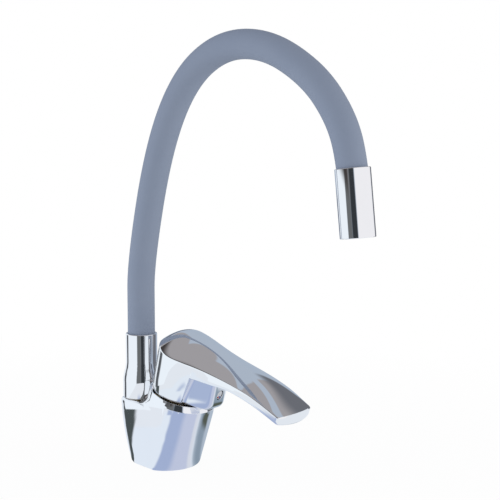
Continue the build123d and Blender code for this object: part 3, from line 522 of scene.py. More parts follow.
def lever_outline():
    """Rows of (forward, across, outward forward, outward across, spine forward) for one half."""
    rows = []
    for angle in np.linspace(0, math.pi / 2, DOME_PLACES, endpoint=False):
        facing = (-math.cos(angle), math.sin(angle))
        rows.append((HEAD_RADIUS * facing[0], HEAD_RADIUS * facing[1], *facing, 0.0))
    corner_start = REACH - CORNER_RADIUS
    sides = np.linspace(0, corner_start, SIDE_PLACES)
    slopes = np.gradient(along(HALF_WIDTHS, sides), sides)
    slopes[0] = 0.0
    for forward, slope in zip(sides, slopes):
        length = math.hypot(slope, 1)
        rows.append((forward, float(half_width(forward)), -slope / length, 1 / length, forward))
    turn_start = math.atan2(rows[-1][3], rows[-1][2])
    centre = np.array(rows[-1][:2]) - CORNER_RADIUS * np.array(rows[-1][2:4])
    # The tip is an arc that meets the corner's arc and crosses the middle square on
    reach_half = centre[1]
    tip_radius = (reach_half**2 + TIP_BULGE**2) / (2 * TIP_BULGE)
    turn_end = math.asin(reach_half / (tip_radius + CORNER_RADIUS))
    for angle in np.linspace(turn_start, turn_end, CORNER_PLACES)[1:]:
        facing = np.array([math.cos(angle), math.sin(angle)])
        place = centre + CORNER_RADIUS * facing
        rows.append((*place, *facing, corner_start))
    end = np.array(rows[-1][:2])
    tip_radius = end[1] / math.sin(turn_end)
    tip_centre = end[0] - tip_radius * math.cos(turn_end)
    for angle in np.linspace(turn_end, 0, TIP_PLACES)[1:]:
        facing = (math.cos(angle), math.sin(angle))
        place = (tip_centre + tip_radius * facing[0], tip_radius * facing[1])
        rows.append((*place, *facing, corner_start))
    return np.array(rows)


outline = lever_outline()
print("outline places:", len(outline), "furthest forward:", round(outline[:, 0].max(), 2), "mm")

# %% [markdown]
# From the rim the wall drops. Round the dome it is the deep skirt of the cup, which tapers a little, and beyond the
# notch it is only the blade's narrow band. Inside come the cup's hollow and the hollow underside of the blade. Each
# place of the outline gets one closed loop of points: over the top from the spine, round the rim, down the wall,
# round the foot, and back to the spine below.

# %% Lever mesh
SKIRT_FOOT = 62.3
SKIRT_FOOT_RADIUS = 24.0
NOTCH_FORWARD = 20.5
NOTCH_LAG = math.radians(5.5)
NOTCH_LAG_END = 20
CUP_RADIUS = 20.6
CUP_WALL_TOP = 88.0
CUP_ROOF = 105.0
RIM_ROUND = 0.6
RIM_POINTS = 6
FOOT_ROUND = 0.5
BLADE_PLATE = 2.6
BLADE_WALL = 1.8
BLADE_DRAFT = 0.03
BLADE_START, BLADE_ALONE = 18, 42
UNDERSIDE_GAP = 0.2
TOP_ROWS = 26


def bend(first, corner, last, count):
    """Points of a quadratic Bezier curve after its first one."""
    first, corner, last = (np.array(point, float) for point in (first, corner, last))
    return [
        tuple((1 - t) ** 2 * first + 2 * t * (1 - t) * corner + t * t * last)
        for t in np.linspace(0, 1, count + 1)[1:]
    ]


def band_height(forward):
    """How far the blade's side drops from its rim."""
    return 10.0 - 4.5 * smooth(forward, BLADE_START, 62)


def lever_loops():
    """One closed row of points for each place of the outline, and two at the notch."""
    loops = []
    for forward, across, out_f, out_a, spine in outline:
        zones = [forward <= NOTCH_FORWARD]
        if len(loops) and zones[0] != loops[-1][1]:
            zones = [True, False]
        for cup in zones:
            here, out = np.array([forward, across]), np.array([out_f, out_a])
            start = np.array([spine, 0.0])
            rim = float(rim_height(forward))
            inner = here - out * RIM_ROUND
            rows = []
            for share in np.linspace(0, 1, TOP_ROWS):
                place = start + (inner - start) * share
                rows.append((*place, float(top_height(*place))))
            # Wall direction: towards the cup's foot round the dome, nearly straight down along the blade
            lag = math.atan2(forward, across) - NOTCH_LAG * float(smooth(forward, 0, NOTCH_LAG_END))
            radial = np.array([math.sin(lag), math.cos(lag)])
            foot_place = radial * SKIRT_FOOT_RADIUS
            lean_cup = (foot_place - here) / (rim - SKIRT_FOOT)
            lean_blade = -out * BLADE_DRAFT
            share = float(smooth(forward, BLADE_START, BLADE_ALONE))
            lean = lean_cup * (1 - share) + lean_blade * share
            after = (*(here + lean * RIM_ROUND), rim - RIM_ROUND)
            rows += bend(rows[-1], (*here, rim), after, RIM_POINTS)
            foot = SKIRT_FOOT if cup else rim - float(band_height(forward))
            for drop in np.linspace(rim - RIM_ROUND, foot + FOOT_ROUND, 4)[1:]:
                rows.append((*(here + lean * (rim - drop)), drop))
            low = here + lean * (rim - foot)
            rows.append((*(low - out * FOOT_ROUND * 0.3), foot + FOOT_ROUND * 0.3))
            rows.append((*(low - out * FOOT_ROUND), foot))
            thick = float(np.linalg.norm(low)) - CUP_RADIUS if cup else BLADE_WALL
            thick_out = radial if cup else out
            inside = low - thick_out * thick
            rows.append((*inside, foot))
            if cup:
                rows.append((*inside, CUP_WALL_TOP))
                for share in np.linspace(1, 0, TOP_ROWS)[1:]:
                    place = start + (inside - start) * share
                    dome = 1 - min(1, np.linalg.norm(place) / np.linalg.norm(inside)) ** 2
                    rows.append((*place, CUP_WALL_TOP + (CUP_ROOF - CUP_WALL_TOP) * dome))
            else:
                lowest = foot + UNDERSIDE_GAP
                under = float(top_height(*inside)) - BLADE_PLATE
                rows.append((*inside, max(lowest, under - UNDERSIDE_GAP)))
                for share in np.linspace(1, 0, TOP_ROWS)[1:]:
                    place = start + (inside - start) * share
                    rows.append((*place, max(lowest, float(top_height(*place)) - BLADE_PLATE)))
            loops.append((np.array(rows), cup))
    return [loop for loop, _ in loops]


def grid_faces(rows, columns, base=0):
    """Four-sided faces between neighbouring rows of points."""
    corners = (base + i * columns + j for i in range(rows - 1) for j in range(columns - 1))
    return [(a, a + 1, a + columns + 1, a + columns) for a in corners]


loops = lever_loops()
vertices, faces = [], []
for side in (1, -1):
    faces += grid_faces(len(loops), len(loops[0]), base=len(vertices))
    for loop in loops:
        vertices.extend(loop * (1, side, 1))
lever = new_piece(
    "lever", from_tower(np.array(vertices)), faces, "handle_chrome", "lever", "lever_handle", sharp=50
)

# %% [markdown]
# Below the blade, the cup's front is set back behind the notch, and a chin grows from it towards the user. The chin
# holds the clamping screw behind a small plug. It is a stack of level outlines: a round wall, two flanks that draw
# together, and a rounded nose, pulled back at the foot so that its lower edge is soft.

# %% Outline of the chin
SCREW_HEIGHT = 76.0
CHIN_FOOT = 62.7
CHIN_TOP = 97.0
CHIN_NOSE = 36.2
NOSE_HALF = 5.5
FLANK_SPREAD = 0.05
FLANK_ROOT_HALF = 15.2
FLANK_END = (33.0, 10.4)
HOLLOW_SPAN = 2.4
HOLLOW_RUN = 2.6


def chin_outline(pull, height):
    """Half of the chin's outline at a height, with its nose pulled back."""
    spread = FLANK_SPREAD * (height - SCREW_HEIGHT)
    notch = 17.3 + 0.214 * (height - 75.0)
    root = np.array([notch + 0.15, FLANK_ROOT_HALF + 0.38 * (NOTCH_FORWARD - notch) + spread])
    edge = np.array([FLANK_END[0], FLANK_END[1] + spread])
    nose = CHIN_NOSE - pull
    edge[0] -= pull
    flank = (edge - root) / np.linalg.norm(edge - root)
    flank_start = root + flank * HOLLOW_RUN
    # A hollow round leads from the notch's face to the flank
    outer = root[1] + HOLLOW_SPAN
    points = [(notch - 1.5, outer + 0.2), (root[0], outer)]
    points += bend(points[-1], root, flank_start, 10)
    points += [tuple(flank_start + (edge - flank_start) * t) for t in np.linspace(0, 1, 14)[1:]]
    points += bend(edge, edge + flank * (nose - edge[0]) * 0.92, (nose, NOSE_HALF), 16)
    points += [(nose, NOSE_HALF * (1 - t)) for t in np.linspace(0, 1, 8)[1:]]
    return np.array(points)


print("chin's outline at the screw:", len(chin_outline(0, SCREW_HEIGHT)), "points to each side")

# %% [markdown]
# The outlines are stacked, a little smaller in the lowest millimetre and pulled back in the lowest seven. Both
# sides, the foot, the hidden top and the wall inside the cup close the shell.

# %% Chin mesh
CHIN_SOFT_FOOT = ((0, 0.9), (0.15, 0.55), (0.5, 0.2), (1.0, 0.0))
CHIN_LENGTH = 30
CHIN_SWEEP_HEIGHT = 7.0
CHIN_SWEEP = 5.5
levels = [(CHIN_FOOT + rise, inset) for rise, inset in CHIN_SOFT_FOOT]
levels += [(height, 0.0) for height in np.linspace(CHIN_FOOT + 2, CHIN_TOP, 24)]
chin_rows = []
for height, inset in levels:
    depth = np.clip(1 - (height - CHIN_FOOT) / CHIN_SWEEP_HEIGHT, 0, 1)
    half = chin_outline(CHIN_SWEEP * (1 - math.sqrt(1 - depth**2)), height)
    half = half * (1 - inset / CHIN_LENGTH)
    chin_rows.append(np.c_[half, np.full(len(half), height)])
chin_vertices, chin_faces = [], []
across_count = len(chin_rows[0])
for side in (1, -1):
    base = len(chin_vertices)
    for row in chin_rows:
        chin_vertices.extend(row * (1, side, 1))
    chin_faces += grid_faces(len(chin_rows), across_count, base)
    for level in (0, len(chin_rows) - 1):
        # Close the foot and the hidden top towards the tower's axis
        inner = len(chin_vertices)
        for forward, across, height in chin_rows[level]:
            turn = math.atan2(across, forward)
            chin_vertices.append((CUP_RADIUS * math.cos(turn), side * CUP_RADIUS * math.sin(turn), height))
        for j in range(across_count - 1):
            a = base + level * across_count + j
            chin_faces.append((a, a + 1, inner + j + 1, inner + j))
    # Inner wall of the cup's front, and the end that hides in the skirt
    low, high = len(chin_vertices) - 2 * across_count, len(chin_vertices) - across_count
    for j in range(across_count - 1):
        chin_faces.append((low + j, low + j + 1, high + j + 1, high + j))
    column = [base + i * across_count for i in range(len(chin_rows))]
    chin_faces.append(tuple(column + [high, low]))
chin = new_piece(
    "chin", from_tower(np.array(chin_vertices)), chin_faces, "handle_chrome", "lever", "lever_handle",
    sharp=50,
)

# %% [markdown]
# The plug's hole is bored with a Boolean modifier, which is applied at once so that the piece stays a plain mesh.

# %% Bore the plug's hole
PLUG_HOLE_RADIUS = 3.95
ROUND_SIDES = 64


def bored(piece, start, direction, radius, length):
    """Bores a round hole into a piece, from a point along a direction, all in metres."""
    cutter_mesh = bpy.data.meshes.new("cutter")
    working = bmesh.new()
    bmesh.ops.create_cone(
        working, cap_ends=True, segments=ROUND_SIDES, radius1=radius, radius2=radius, depth=length
    )
    turn = Vector(direction).to_track_quat("Z", "Y").to_matrix().to_4x4()
    middle = Vector(start) + Vector(direction).normalized() * length / 2
    working.transform(Matrix.Translation(middle) @ turn)
    working.to_mesh(cutter_mesh)
    working.free()
    cutter = bpy.data.objects.new("cutter", cutter_mesh)
    bpy.context.scene.collection.objects.link(cutter)
    boolean = piece.modifiers.new("bore", "BOOLEAN")
    boolean.operation, boolean.solver, boolean.object = "DIFFERENCE", "EXACT", cutter
    graph = bpy.context.evaluated_depsgraph_get()
    result = bpy.data.meshes.new_from_object(piece.evaluated_get(graph))
    piece.modifiers.remove(boolean)
    piece.data = result
    result.name = piece.name
    result.materials.clear()
    result.materials.append(finishes[slot_of["lever_handle"]])
    result.polygons.foreach_set("use_smooth", [True] * len(result.polygons))
    result.set_sharp_from_angle(angle=math.radians(40))
    bpy.data.objects.remove(cutter)
    bpy.data.meshes.remove(cutter_mesh)
    print(piece.name, "bored, faces:", len(result.polygons))


hole_start = from_tower(np.array([24.0, 0.0, SCREW_HEIGHT]))
bored(chin, hole_start, TOWER_FORWARD, PLUG_HOLE_RADIUS * MM, 22 * MM)

# %% [markdown]
# The plug is a round button that sits a little below the nose, with a dark gap round it. A red and a blue dot on it
# show which way is hot and which is cold. All three are one turned shape: a profile with a soft rim and a slight
# dome, carried round its own axis.

# %% Plug and its dots
PLUG_FACE = CHIN_NOSE - 0.9
PLUG_THICK = 1.6
DOT_SIZES = (0.85, 0.32, 0.05)
DOT_DROP = 1.9


def ring_faces(rows, sides):
    """Four-sided faces between neighbouring rows of points that each close on themselves."""
    pairs = ((row * sides, k) for row in range(rows - 1) for k in range(sides))
    around = ((start + k, start + (k + 1) % sides) for start, k in pairs)
    return [(a, b, b + sides, a + sides) for a, b in around]


def button(name, place, sizes, slot, body, *stands_for):
    """A round button of a radius, thickness and dome, facing along the tower's forward direction."""
    radius, thick, dome = sizes
    soft = min(0.25, thick / 3)
    profile = [(0.0, 0.0), (radius, 0.0)]
    for angle in np.linspace(0, math.pi / 2, 6):
        profile.append((radius - soft * (1 - math.cos(angle)), thick - soft * (1 - math.sin(angle))))
    profile += [(radius * share, thick + dome * (1 - share**2)) for share in np.linspace(0.86, 0, 8)]
    turns = np.linspace(0, math.tau, ROUND_SIDES, endpoint=False)
    vertices = np.array([
        (rise, out * math.cos(turn), out * math.sin(turn)) for out, rise in profile for turn in turns
    ]) + place
    faces = ring_faces(len(profile), ROUND_SIDES)
    return new_piece(name, from_tower(vertices), faces, slot, body, *stands_for, sharp=40)


plug_back = (PLUG_FACE - PLUG_THICK, 0, SCREW_HEIGHT)
plug = button("plug", plug_back, (3.55, PLUG_THICK, 0.25), "plug_plastic", "lever", "indicator_plug")
red_place, blue_place = ((PLUG_FACE, across, SCREW_HEIGHT - DOT_DROP) for across in (-1.0, 1.0))
red_dot = button("red_dot", red_place, DOT_SIZES, "hot_red", "lever", "hot_mark")
blue_dot = button("blue_dot", blue_place, DOT_SIZES, "cold_blue", "lever", "cold_mark")

# %% [markdown]
# ## The tower's shoulder
# On the real tap the shoulder and the lip inside it are turned on a lathe, so their edges run evenly round the
# tower. A lathe is easy to copy in a mesh: one closed profile is repeated at small steps of an angle. The casting's
# own rounded edge is made of slivers that break the reflection, so this clean arc lies a hair above it at the front.
# The lip covers the cartridge's nut where the handle's skirt is cut away for the chin.

# %% Shoulder and lip
SHOULDER_CORNERS = (
    (27.9, 54.0), (28.23, 57.52), (25.72, 61.93), (24.84, 61.93), (24.84, 60.6), (26.0, 58.0),
)
SHOULDER_REACH, SHOULDER_ROUND = 68, 0.35
LIP_CORNERS = ((25.2, 60.2), (25.2, 61.2), (20.0, 61.2), (20.0, 60.2))
LIP_REACH, LIP_ROUND = 44, 0.3


def turned_arc(name, profile, reach, slot, body):
    """A closed profile of (radius, height) carried round the tower's axis, reach degrees to each side."""
    turns, count = np.radians(np.linspace(-reach, reach, 2 * reach + 1)), len(profile)
    vertices = np.array([
        (radius * math.cos(turn), radius * math.sin(turn), height) for turn in turns for radius, height in profile
    ])
    faces = ring_faces(len(turns), count)
    faces.append(tuple(range(count)))
    faces.append(tuple((len(turns) - 1) * count + k for k in reversed(range(count))))
    return new_piece(name, from_tower(vertices), faces, slot, body)


def softened(corners, radius, count=7):
    """The same corners with each one rounded."""
    corners, points = np.array(corners), []
    for k, corner in enumerate(corners):
        before, after = corners[k - 1] - corner, corners[(k + 1) % len(corners)] - corner
        start = corner + before / np.linalg.norm(before) * radius
        end = corner + after / np.linalg.norm(after) * radius
        points += [tuple(start)] + bend(start, corner, end, count)
    return points


body_slot, body_name = slot_of["mixer_body"], nodes["mixer_body"]["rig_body"]
shoulder_profile = softened(SHOULDER_CORNERS, SHOULDER_ROUND)
shoulder = turned_arc("shoulder_ring", shoulder_profile, SHOULDER_REACH, body_slot, body_name)
lip = turned_arc("inner_lip", softened(LIP_CORNERS, LIP_ROUND), LIP_REACH, body_slot, body_name)

# %% [markdown]
# ## The neck
# The neck follows one smooth line from the collar to the outlet. Geometry Nodes sweep a circle along that line. It
# is the same rule for the silicone sleeve, the bendable core inside it and the water hose inside that, so one tree
# with named inputs makes all three. The line is a NURBS curve through the bends' control points.

# %% Sweep tree
NECK_ROUTE = (
    (-24.8, 92.9), (-24.8, 120.0), (-24.8, 159.4), (-5.3, 249.8), (21.3, 303.8), (57.9, 328.9),
    (100.0, 327.8), (140.3, 303.6), (162.7, 274.4), (172.1, 246.6), (174.7, 221.4),
)


def sweep_tree():
    """A Geometry Nodes tree that turns a curve into a tube's outer and inner walls, with its ends left open."""
    tree = bpy.data.node_groups.new("tube_on_a_line", "GeometryNodeTree")
    tree.interface.new_socket("Line", in_out="INPUT", socket_type="NodeSocketGeometry")
    sizes = (("Radius", 0.011), ("Bore", 0.0092), ("Spacing", 0.0015))
    for name, value in sizes:
        socket = tree.interface.new_socket(name, in_out="INPUT", socket_type="NodeSocketFloat")
        socket.default_value = value
    tree.interface.new_socket("Finish", in_out="INPUT", socket_type="NodeSocketMaterial")
    tree.interface.new_socket("Tube", in_out="OUTPUT", socket_type="NodeSocketGeometry")
    entry = tree.nodes.new("NodeGroupInput")
    leave = tree.nodes.new("NodeGroupOutput")
    link = tree.links.new
    resample = tree.nodes.new("GeometryNodeResampleCurve")
    resample.mode = "LENGTH"
    link(entry.outputs["Line"], resample.inputs["Curve"])
    link(entry.outputs["Spacing"], resample.inputs["Length"])
    walls = []
    for size in ("Radius", "Bore"):
        circle = tree.nodes.new("GeometryNodeCurvePrimitiveCircle")
        circle.inputs["Resolution"].default_value = 72
        link(entry.outputs[size], circle.inputs["Radius"])
        sweep = tree.nodes.new("GeometryNodeCurveToMesh")
        link(resample.outputs["Curve"], sweep.inputs["Curve"])
        link(circle.outputs["Curve"], sweep.inputs["Profile Curve"])
        walls.append(sweep.outputs["Mesh"])
    flip = tree.nodes.new("GeometryNodeFlipFaces")
    link(walls[1], flip.inputs["Mesh"])
    join = tree.nodes.new("GeometryNodeJoinGeometry")
    link(walls[0], join.inputs["Geometry"])
    link(flip.outputs["Mesh"], join.inputs["Geometry"])
    realize = tree.nodes.new("GeometryNodeRealizeInstances")
    link(join.outputs["Geometry"], realize.inputs["Geometry"])
    finish = tree.nodes.new("GeometryNodeSetMaterial")
    link(realize.outputs["Geometry"], finish.inputs["Geometry"])
    link(entry.outputs["Finish"], finish.inputs["Material"])
    link(finish.outputs["Geometry"], leave.inputs["Tube"])
    return tree


tube_tree = sweep_tree()
socket_ids = {item.name: item.identifier for item in tube_tree.interface.items_tree}
print("inputs of the tube's tree:", sorted(socket_ids))

# %% [markdown]
# Each tube is the tree at work on the neck's line with its own two radii. The result is copied to a plain mesh, its
# ends are closed, and the line with its modifier is thrown away.


def neck_tube(name, route, radius, bore, slot, *stands_for):
    """A tube along a route in the plane of the spout, closed at both ends, as a plain mesh."""
    line_data = bpy.data.curves.new(name + "_line", "CURVE")
    line_data.dimensions = "3D"
    line_data.twist_mode = "MINIMUM"
    spline = line_data.splines.new("NURBS")
    spline.points.add(len(route) - 1)
    for point, (x, z) in zip(spline.points, route):
        point.co = (x * MM, 0, z * MM, 1)
    spline.order_u = 3
    spline.use_endpoint_u = True
    spline.resolution_u = 24
    line = bpy.data.objects.new(name + "_line", line_data)
    bpy.context.scene.collection.objects.link(line)
    sweep = line.modifiers.new("sweep", "NODES")
    sweep.node_group = tube_tree
    sweep[socket_ids["Radius"]] = radius * MM
    sweep[socket_ids["Bore"]] = bore * MM
    sweep[socket_ids["Finish"]] = finishes[slot]
    graph = bpy.context.evaluated_depsgraph_get()
    mesh = bpy.data.meshes.new_from_object(line.evaluated_get(graph))
    bpy.data.objects.remove(line)
    working = bmesh.new()
    working.from_mesh(mesh)
    bmesh.ops.remove_doubles(working, verts=working.verts, dist=1e-7)
    rims = [edge for edge in working.edges if edge.is_boundary]
    for high in (False, True):
        # Each end has an outer and an inner ring, which a bridge closes
        middle = sum(v.co.x for e in rims for v in e.verts) / (2 * len(rims))
        end = [edge for edge in rims if (edge.verts[0].co.x > middle) == high]
        bmesh.ops.bridge_loops(working, edges=end)
    bmesh.ops.recalc_face_normals(working, faces=working.faces)
    working.to_mesh(mesh)
    working.free()
    piece = dress(mesh, name, slot, None, *stands_for, sharp=50)
    length = sum(math.dist(a, b) for a, b in zip(route, route[1:]))
    print(name, "route:", round(length, 1), "mm")
    return piece


sleeve = neck_tube(
    "sleeve", NECK_ROUTE, 11.0, 9.2, "sleeve_silicone", "sleeve_riser", "sleeve_arch", "sleeve_drop"
)
inner_route = ((-24.8, 84.4),) + NECK_ROUTE[1:]
core = neck_tube("bendable_core", inner_route, 8.95, 6.75, "steel", "gooseneck_core")
hose = neck_tube("inner_hose", inner_route, 5.8, 4.1, "hose_rubber", "water_hose")
for piece in (sleeve, core, hose):
    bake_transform(piece)

# %% [markdown]
# ## The studio
# Chrome shows nothing but its surroundings, so the studio matters as much as the finish. Catalogue pictures of
# chrome are taken in a light tent: white cloth all round at arm's length, with one opening for the camera. The
# cloth is what the chrome mirrors, and the dark bands on the round parts are the opening and the tent's seams.

# %% Tones and patterns of the studio
TENT_MIDDLE = 70 * MM
TENT_RADIUS = 300 * MM
TENT_SIDES = 96
TENT_EYE = 100 * MM
MIRROR_LOSS = 0.93


def screen(red, green, blue):
    """A colour as a screen's 0 to 255 values, as the light that a chrome part needs to show it."""
    light = [((value / 255 + 0.055) / 1.055) ** 2.4 / MIRROR_LOSS for value in (red, green, blue)]
    return (*light, 1)


class Studio:
    """An emission that changes from place to place, for the floor and the tent."""

    def __init__(self, name, middle, middle_north=0.0):
        self.material = bpy.data.materials.new(name)
        self.material.use_nodes = True
        self.tree = self.material.node_tree
        self.tree.nodes.clear()
        place = add_node(self.tree, "ShaderNodeTexCoord")
        split = add_node(self.tree, "ShaderNodeSeparateXYZ", Vector=Value(self.tree, place.outputs["Object"]))
        east, north, self.height = (Value(self.tree, split.outputs[axis]) for axis in range(3))
        self.east, self.north = east - middle, north - middle_north
        self.radius = (self.east * self.east + self.north * self.north).power(0.5)
        turn = add_node(self.tree, "ShaderNodeMath", {"operation": "ARCTAN2"})
        feed(self.tree, turn.inputs[0], self.north)
        feed(self.tree, turn.inputs[1], self.east)
        self.turn = Value(self.tree, turn.outputs[0]) * math.degrees(1)

    def painted(self, under, share, colour):
        return mixed_colours(self.tree, share, under, colour)

    def span(self, start, end, soft=3.0):
        """1 where the direction from the middle, in degrees, lies between two values."""
        rising = self.turn.between(start - soft, start + soft)
        return rising * (1 - self.turn.between(end - soft, end + soft))

    def ray(self, kind):
        path = add_node(self.tree, "ShaderNodeLightPath")
        return Value(self.tree, path.outputs["Is " + kind + " Ray"])

    def finish(self, shader):
        out = add_node(self.tree, "ShaderNodeOutputMaterial")
        self.tree.links.new(shader.outputs[0], out.inputs["Surface"])
        return self.material


# %% [markdown]
# The tent is a round wall with a domed top. Only mirrors see it, so the camera looks through it at a clean white
# ground. Each part of the cloth has one flat tone, as a screen shows it. The tones and the places where they change
# were fitted for this camera, so that the chrome shows the photograph's bands. From other sides they are a guess.

# %% Light tent
OPENING = screen(50, 54, 58)
SEAM = screen(101, 104, 106)
LEFT_CLOTH = screen(233, 240, 247)
RIGHT_CLOTH = screen(236, 236, 239)
BACK_CLOTH = screen(166, 178, 194)
FLAP = screen(104, 106, 113)
FOLD = screen(96, 100, 113)
REAR_GAP = screen(84, 87, 92)
CEILING = screen(156, 153, 156)
TOP_SEAM = screen(62, 58, 58)
DAYLIGHT = screen(168, 179, 194)

tent_rows = [(TENT_RADIUS, height) for height in np.linspace(-2 * MM, TENT_RADIUS, 12)]
tent_rows += [
    (TENT_RADIUS * math.cos(angle), TENT_RADIUS + TENT_RADIUS * math.sin(angle))
    for angle in np.linspace(0, math.radians(89), 20)[1:]
]
tent_points = [
    (TENT_MIDDLE + radius * math.cos(turn), radius * math.sin(turn), height)
    for radius, height in tent_rows for turn in np.linspace(0, math.tau, TENT_SIDES, endpoint=False)
]
tent_faces = ring_faces(len(tent_rows), TENT_SIDES)
tent_faces.append(tuple((len(tent_rows) - 1) * TENT_SIDES + k for k in range(TENT_SIDES)))
tent_mesh = bpy.data.meshes.new("light_tent")
tent_mesh.from_pydata(tent_points, [], tent_faces)
tent = bpy.data.objects.new("light_tent", tent_mesh)
bpy.context.scene.collection.objects.link(tent)
tent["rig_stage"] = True
tent.visible_camera = tent.visible_diffuse = tent.visible_shadow = False
print("tent's faces:", len(tent_faces))

# %% [markdown]
# The wall is painted with the tones that the cloth's parts have, each over a span of directions from the tent's
# middle. Seen from above and anticlockwise, they are the left cloth, a seam, the opening that the camera looks
# through, the right cloth and a darker flap. The rest is the back, which lies in shade and has one fold. Behind the
# tap the left cloth begins again, with a dark gap low in it.

# %% Wall of the tent
cloth = Studio("tent_cloth", TENT_MIDDLE)
wall = BACK_CLOTH
for start, end, soft, tone in (
    (-174, -98, 3.0, LEFT_CLOTH),
    (-98, -68, 3.0, SEAM),
    (-68, -39, 3.0, OPENING),
    (-37, 55, 3.0, RIGHT_CLOTH),
    (57, 99, 2.0, FLAP),
):
    wall = cloth.painted(wall, cloth.span(start, end, soft), tone)
fold_height = cloth.height.between(0.12, 0.14) * (1 - cloth.height.between(0.18, 0.2))
wall = cloth.painted(wall, cloth.span(135, 157) * fold_height, FOLD)
wall = cloth.painted(wall, cloth.turn.between(155, 162), LEFT_CLOTH)
wall = cloth.painted(wall, 1 - cloth.turn.between(-178, -172), LEFT_CLOTH)
low = 1 - cloth.height.between(70 * MM, 90 * MM)
wall = cloth.painted(wall, (1 - cloth.turn.between(-168, -162)) * low, REAR_GAP)
print("nodes in the cloth so far:", len(cloth.tree.nodes))

# %% [markdown]
# The ceiling hangs over the lever, whose flat top mirrors nothing else. It is grey-brown with a pane of daylight, so
# it is drawn as seen from the tap: how far across and how far beside, for each unit of height above it. The pane
# covers the part behind two slanted edges, and a narrow strip of it goes on to the right.

# %% Ceiling of the tent
rise = cloth.height - TENT_EYE
across, beside = cloth.east / rise, cloth.north / rise
near_edge = (across + 0.22 * beside).between(-0.30, -0.26) * (beside - 2.6 * across).between(0.22, 0.32)
far_edge = (beside + 0.557 * across + 0.04).between(-0.02, 0.02) * (beside - across).between(0.34, 0.40)
strip = beside.between(0.36, 0.40) * (1 - beside.between(0.60, 0.66)) * (1 - across.between(0.7, 0.9))
right = across.between(-0.03, 0.03)
pane = (near_edge + far_edge).clamped() * (1 - right) + right * strip
top = cloth.painted(CEILING, pane, DAYLIGHT)
steep = rise / cloth.radius
left_half = 1 - cloth.turn.between(-80, -60)
deep_half = left_half + cloth.turn.between(148, 154)
top_share = steep.between(0.55, 1.25) + steep.between(0.36, 0.46) * deep_half
top = cloth.painted(top, (1 - steep.between(0.6, 0.95)) * left_half, TOP_SEAM)
cloth_colour = cloth.painted(wall, top_share.clamped(), top)
glow = add_node(cloth.tree, "ShaderNodeEmission", Color=cloth_colour, Strength=1.0)
tent_mesh.materials.append(cloth.finish(glow))
tent_mesh.materials[0].cycles.emission_sampling = "NONE"

# %% [markdown]
# The floor is white paper. The camera sees it fade to the plain white of the ground, with only the tap's shadow on
# it.
# The chrome sees painted shade on it instead: lavender where the tap's shadow lies, a dark patch and a lavender ring
# of painted shadow beside the tap, and paler further out.

# %% Floor
floor_mesh = bpy.data.meshes.new("floor")
floor_mesh.from_pydata([(-6, -6, 0), (6, -6, 0), (6, 6, 0), (-6, 6, 0)], [], [(0, 1, 2, 3)])
floor = bpy.data.objects.new("floor", floor_mesh)
bpy.context.scene.collection.objects.link(floor)
floor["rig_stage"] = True
paper = Studio("floor_paper", 0.0, -10 * MM)
mirrored = screen(222, 230, 240)
# Inside the paler rim these tones hold painted shade: the lavender is the tap's shadow, which only mirrors see
for start, end, soft, tone in (
    (-66, 13, 5.0, (160, 174, 206)),
    (-26, 13, 9.0, (188, 195, 217)),
    (9, 19, 4.0, (210, 214, 224)),
    (22, 150, 5.0, (170, 182, 196)),
    (27, 55, 9.0, (134, 149, 164)),
):
    mirrored = paper.painted(mirrored, paper.span(start, end, soft), screen(*tone))
mirrored = paper.painted(mirrored, paper.radius.between(0.145, 0.16), screen(224, 229, 236))
# A dark patch of painted shadow on the tap's far side, which only mirrors see
shade = paper.span(33, 58, 6.0) * paper.radius.between(0.075, 0.09) * (1 - paper.radius.between(0.115, 0.135))
mirrored = paper.painted(mirrored, shade, screen(82, 88, 80))
# A lavender ring of painted shadow from the outlet and the lever, beside the tap, which only mirrors see
painted_shadow_ring = paper.radius.between(0.10, 0.12) * (1 - paper.radius.between(0.2, 0.24))
mirrored = paper.painted(mirrored, paper.span(-80, -62, 5.0) * painted_shadow_ring, screen(164, 178, 208))
mirrored = paper.painted(mirrored, 1 - paper.turn.between(-155.4, -154.2), screen(72, 79, 80))
mirrored = paper.painted(mirrored, 1 - paper.turn.between(-178, -172), screen(200, 206, 214))
seen_by_mirror = (paper.ray("Glossy") + paper.ray("Transmission")).clamped()
shown = paper.painted((1, 1, 1, 1), seen_by_mirror, mirrored)
glow = add_node(paper.tree, "ShaderNodeEmission", Color=shown, Strength=1.0)
matte = add_node(paper.tree, "ShaderNodeBsdfDiffuse", Color=(0.9, 0.9, 0.9, 1))
mix = add_node(paper.tree, "ShaderNodeMixShader")
# The camera sees a paper that is nearly white in itself, and keeps a little of the tap's shadow near it
white_share = 0.95 + 0.05 * paper.radius.between(0.25, 0.6)
bounce = 0.85 * paper.ray("Diffuse")
feed(paper.tree, mix.inputs[0], (paper.ray("Camera") * white_share + seen_by_mirror + bounce).clamped())
paper.tree.links.new(matte.outputs[0], mix.inputs[1])
paper.tree.links.new(glow.outputs[0], mix.inputs[2])
floor_mesh.materials.append(paper.finish(mix))
floor_mesh.materials[0].cycles.emission_sampling = "NONE"
print("nodes in the floor:", len(paper.tree.nodes))

# %% [markdown]
# The world gives the matt parts their light, at a plain level: bluish from the left, neutral and a little stronger
# from the right, and weaker from above, where the tent is thick. The camera sees plain white behind the tap.

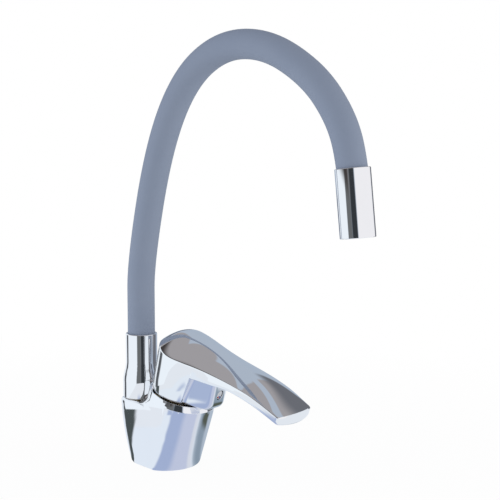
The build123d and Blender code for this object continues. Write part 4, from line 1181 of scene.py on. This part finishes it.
# %% World
LEFT_LIGHT = (0.92, 0.97, 1.06, 1)
RIGHT_LIGHT = (1.0, 0.97, 0.95, 1)
CEILING_LIGHT = (0.62, 0.62, 0.64, 1)
world = bpy.data.worlds.new("studio")
bpy.context.scene.world = world
world.use_nodes = True
tree = world.node_tree
tree.nodes.clear()
path = add_node(tree, "ShaderNodeLightPath")
seen = Value(tree, path.outputs["Is Camera Ray"])
direction = add_node(tree, "ShaderNodeTexCoord")
split = add_node(tree, "ShaderNodeSeparateXYZ", Vector=Value(tree, direction.outputs["Generated"]))
east, north, height = (Value(tree, split.outputs[place]) for place in range(3))
rightwards = east * math.cos(CAMERA_AZIMUTH) + north * math.sin(CAMERA_AZIMUTH)
room = mixed_colours(tree, rightwards.between(-0.3, 0.3), LEFT_LIGHT, RIGHT_LIGHT)
room = mixed_colours(tree, height.between(0.35, 0.75), room, CEILING_LIGHT)
room = mixed_colours(tree, seen, room, (1, 1, 1, 1))
shine = add_node(tree, "ShaderNodeBackground", Color=room, Strength=1.0)
out = add_node(tree, "ShaderNodeOutputWorld")
tree.links.new(shine.outputs[0], out.inputs["Surface"])
print("nodes in the world:", len(tree.nodes))

# %% [markdown]
# Two large soft lamps stand for the windows at either side. They round off the sleeve and cast the faint shadow, and
# the chrome doesn't mirror them, because they are hidden from glossy rays.

# %% Lamps
LAMP_AIM = (0.05, 0, 0.15)


def lamp(name, place, size, power):
    """A square lamp of a size in metres that faces the tap."""
    data = bpy.data.lights.new(name, "AREA")
    data.size, data.energy = size, power
    made = bpy.data.objects.new(name, data)
    bpy.context.scene.collection.objects.link(made)
    facing = Vector(place) - Vector(LAMP_AIM)
    made.matrix_world = Matrix.Translation(place) @ facing.to_track_quat("Z", "Y").to_matrix().to_4x4()
    made.visible_glossy = False
    return made


lamps = [lamp("window_left", (-1.2, -1.0, 0.5), 1.0, 7), lamp("window_right", (1.5, 0.5, 0.5), 0.8, 6)]
bpy.context.scene.view_settings.view_transform = "Standard"
print("lamps:", [made.name for made in lamps])

# %% Sizes and finish
visual_box = [list(corner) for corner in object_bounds()]
growth = max(max(cad_box[0][k] - visual_box[0][k], visual_box[1][k] - cad_box[1][k]) for k in range(3))
print("largest growth, mm:", round(growth / MM, 2))
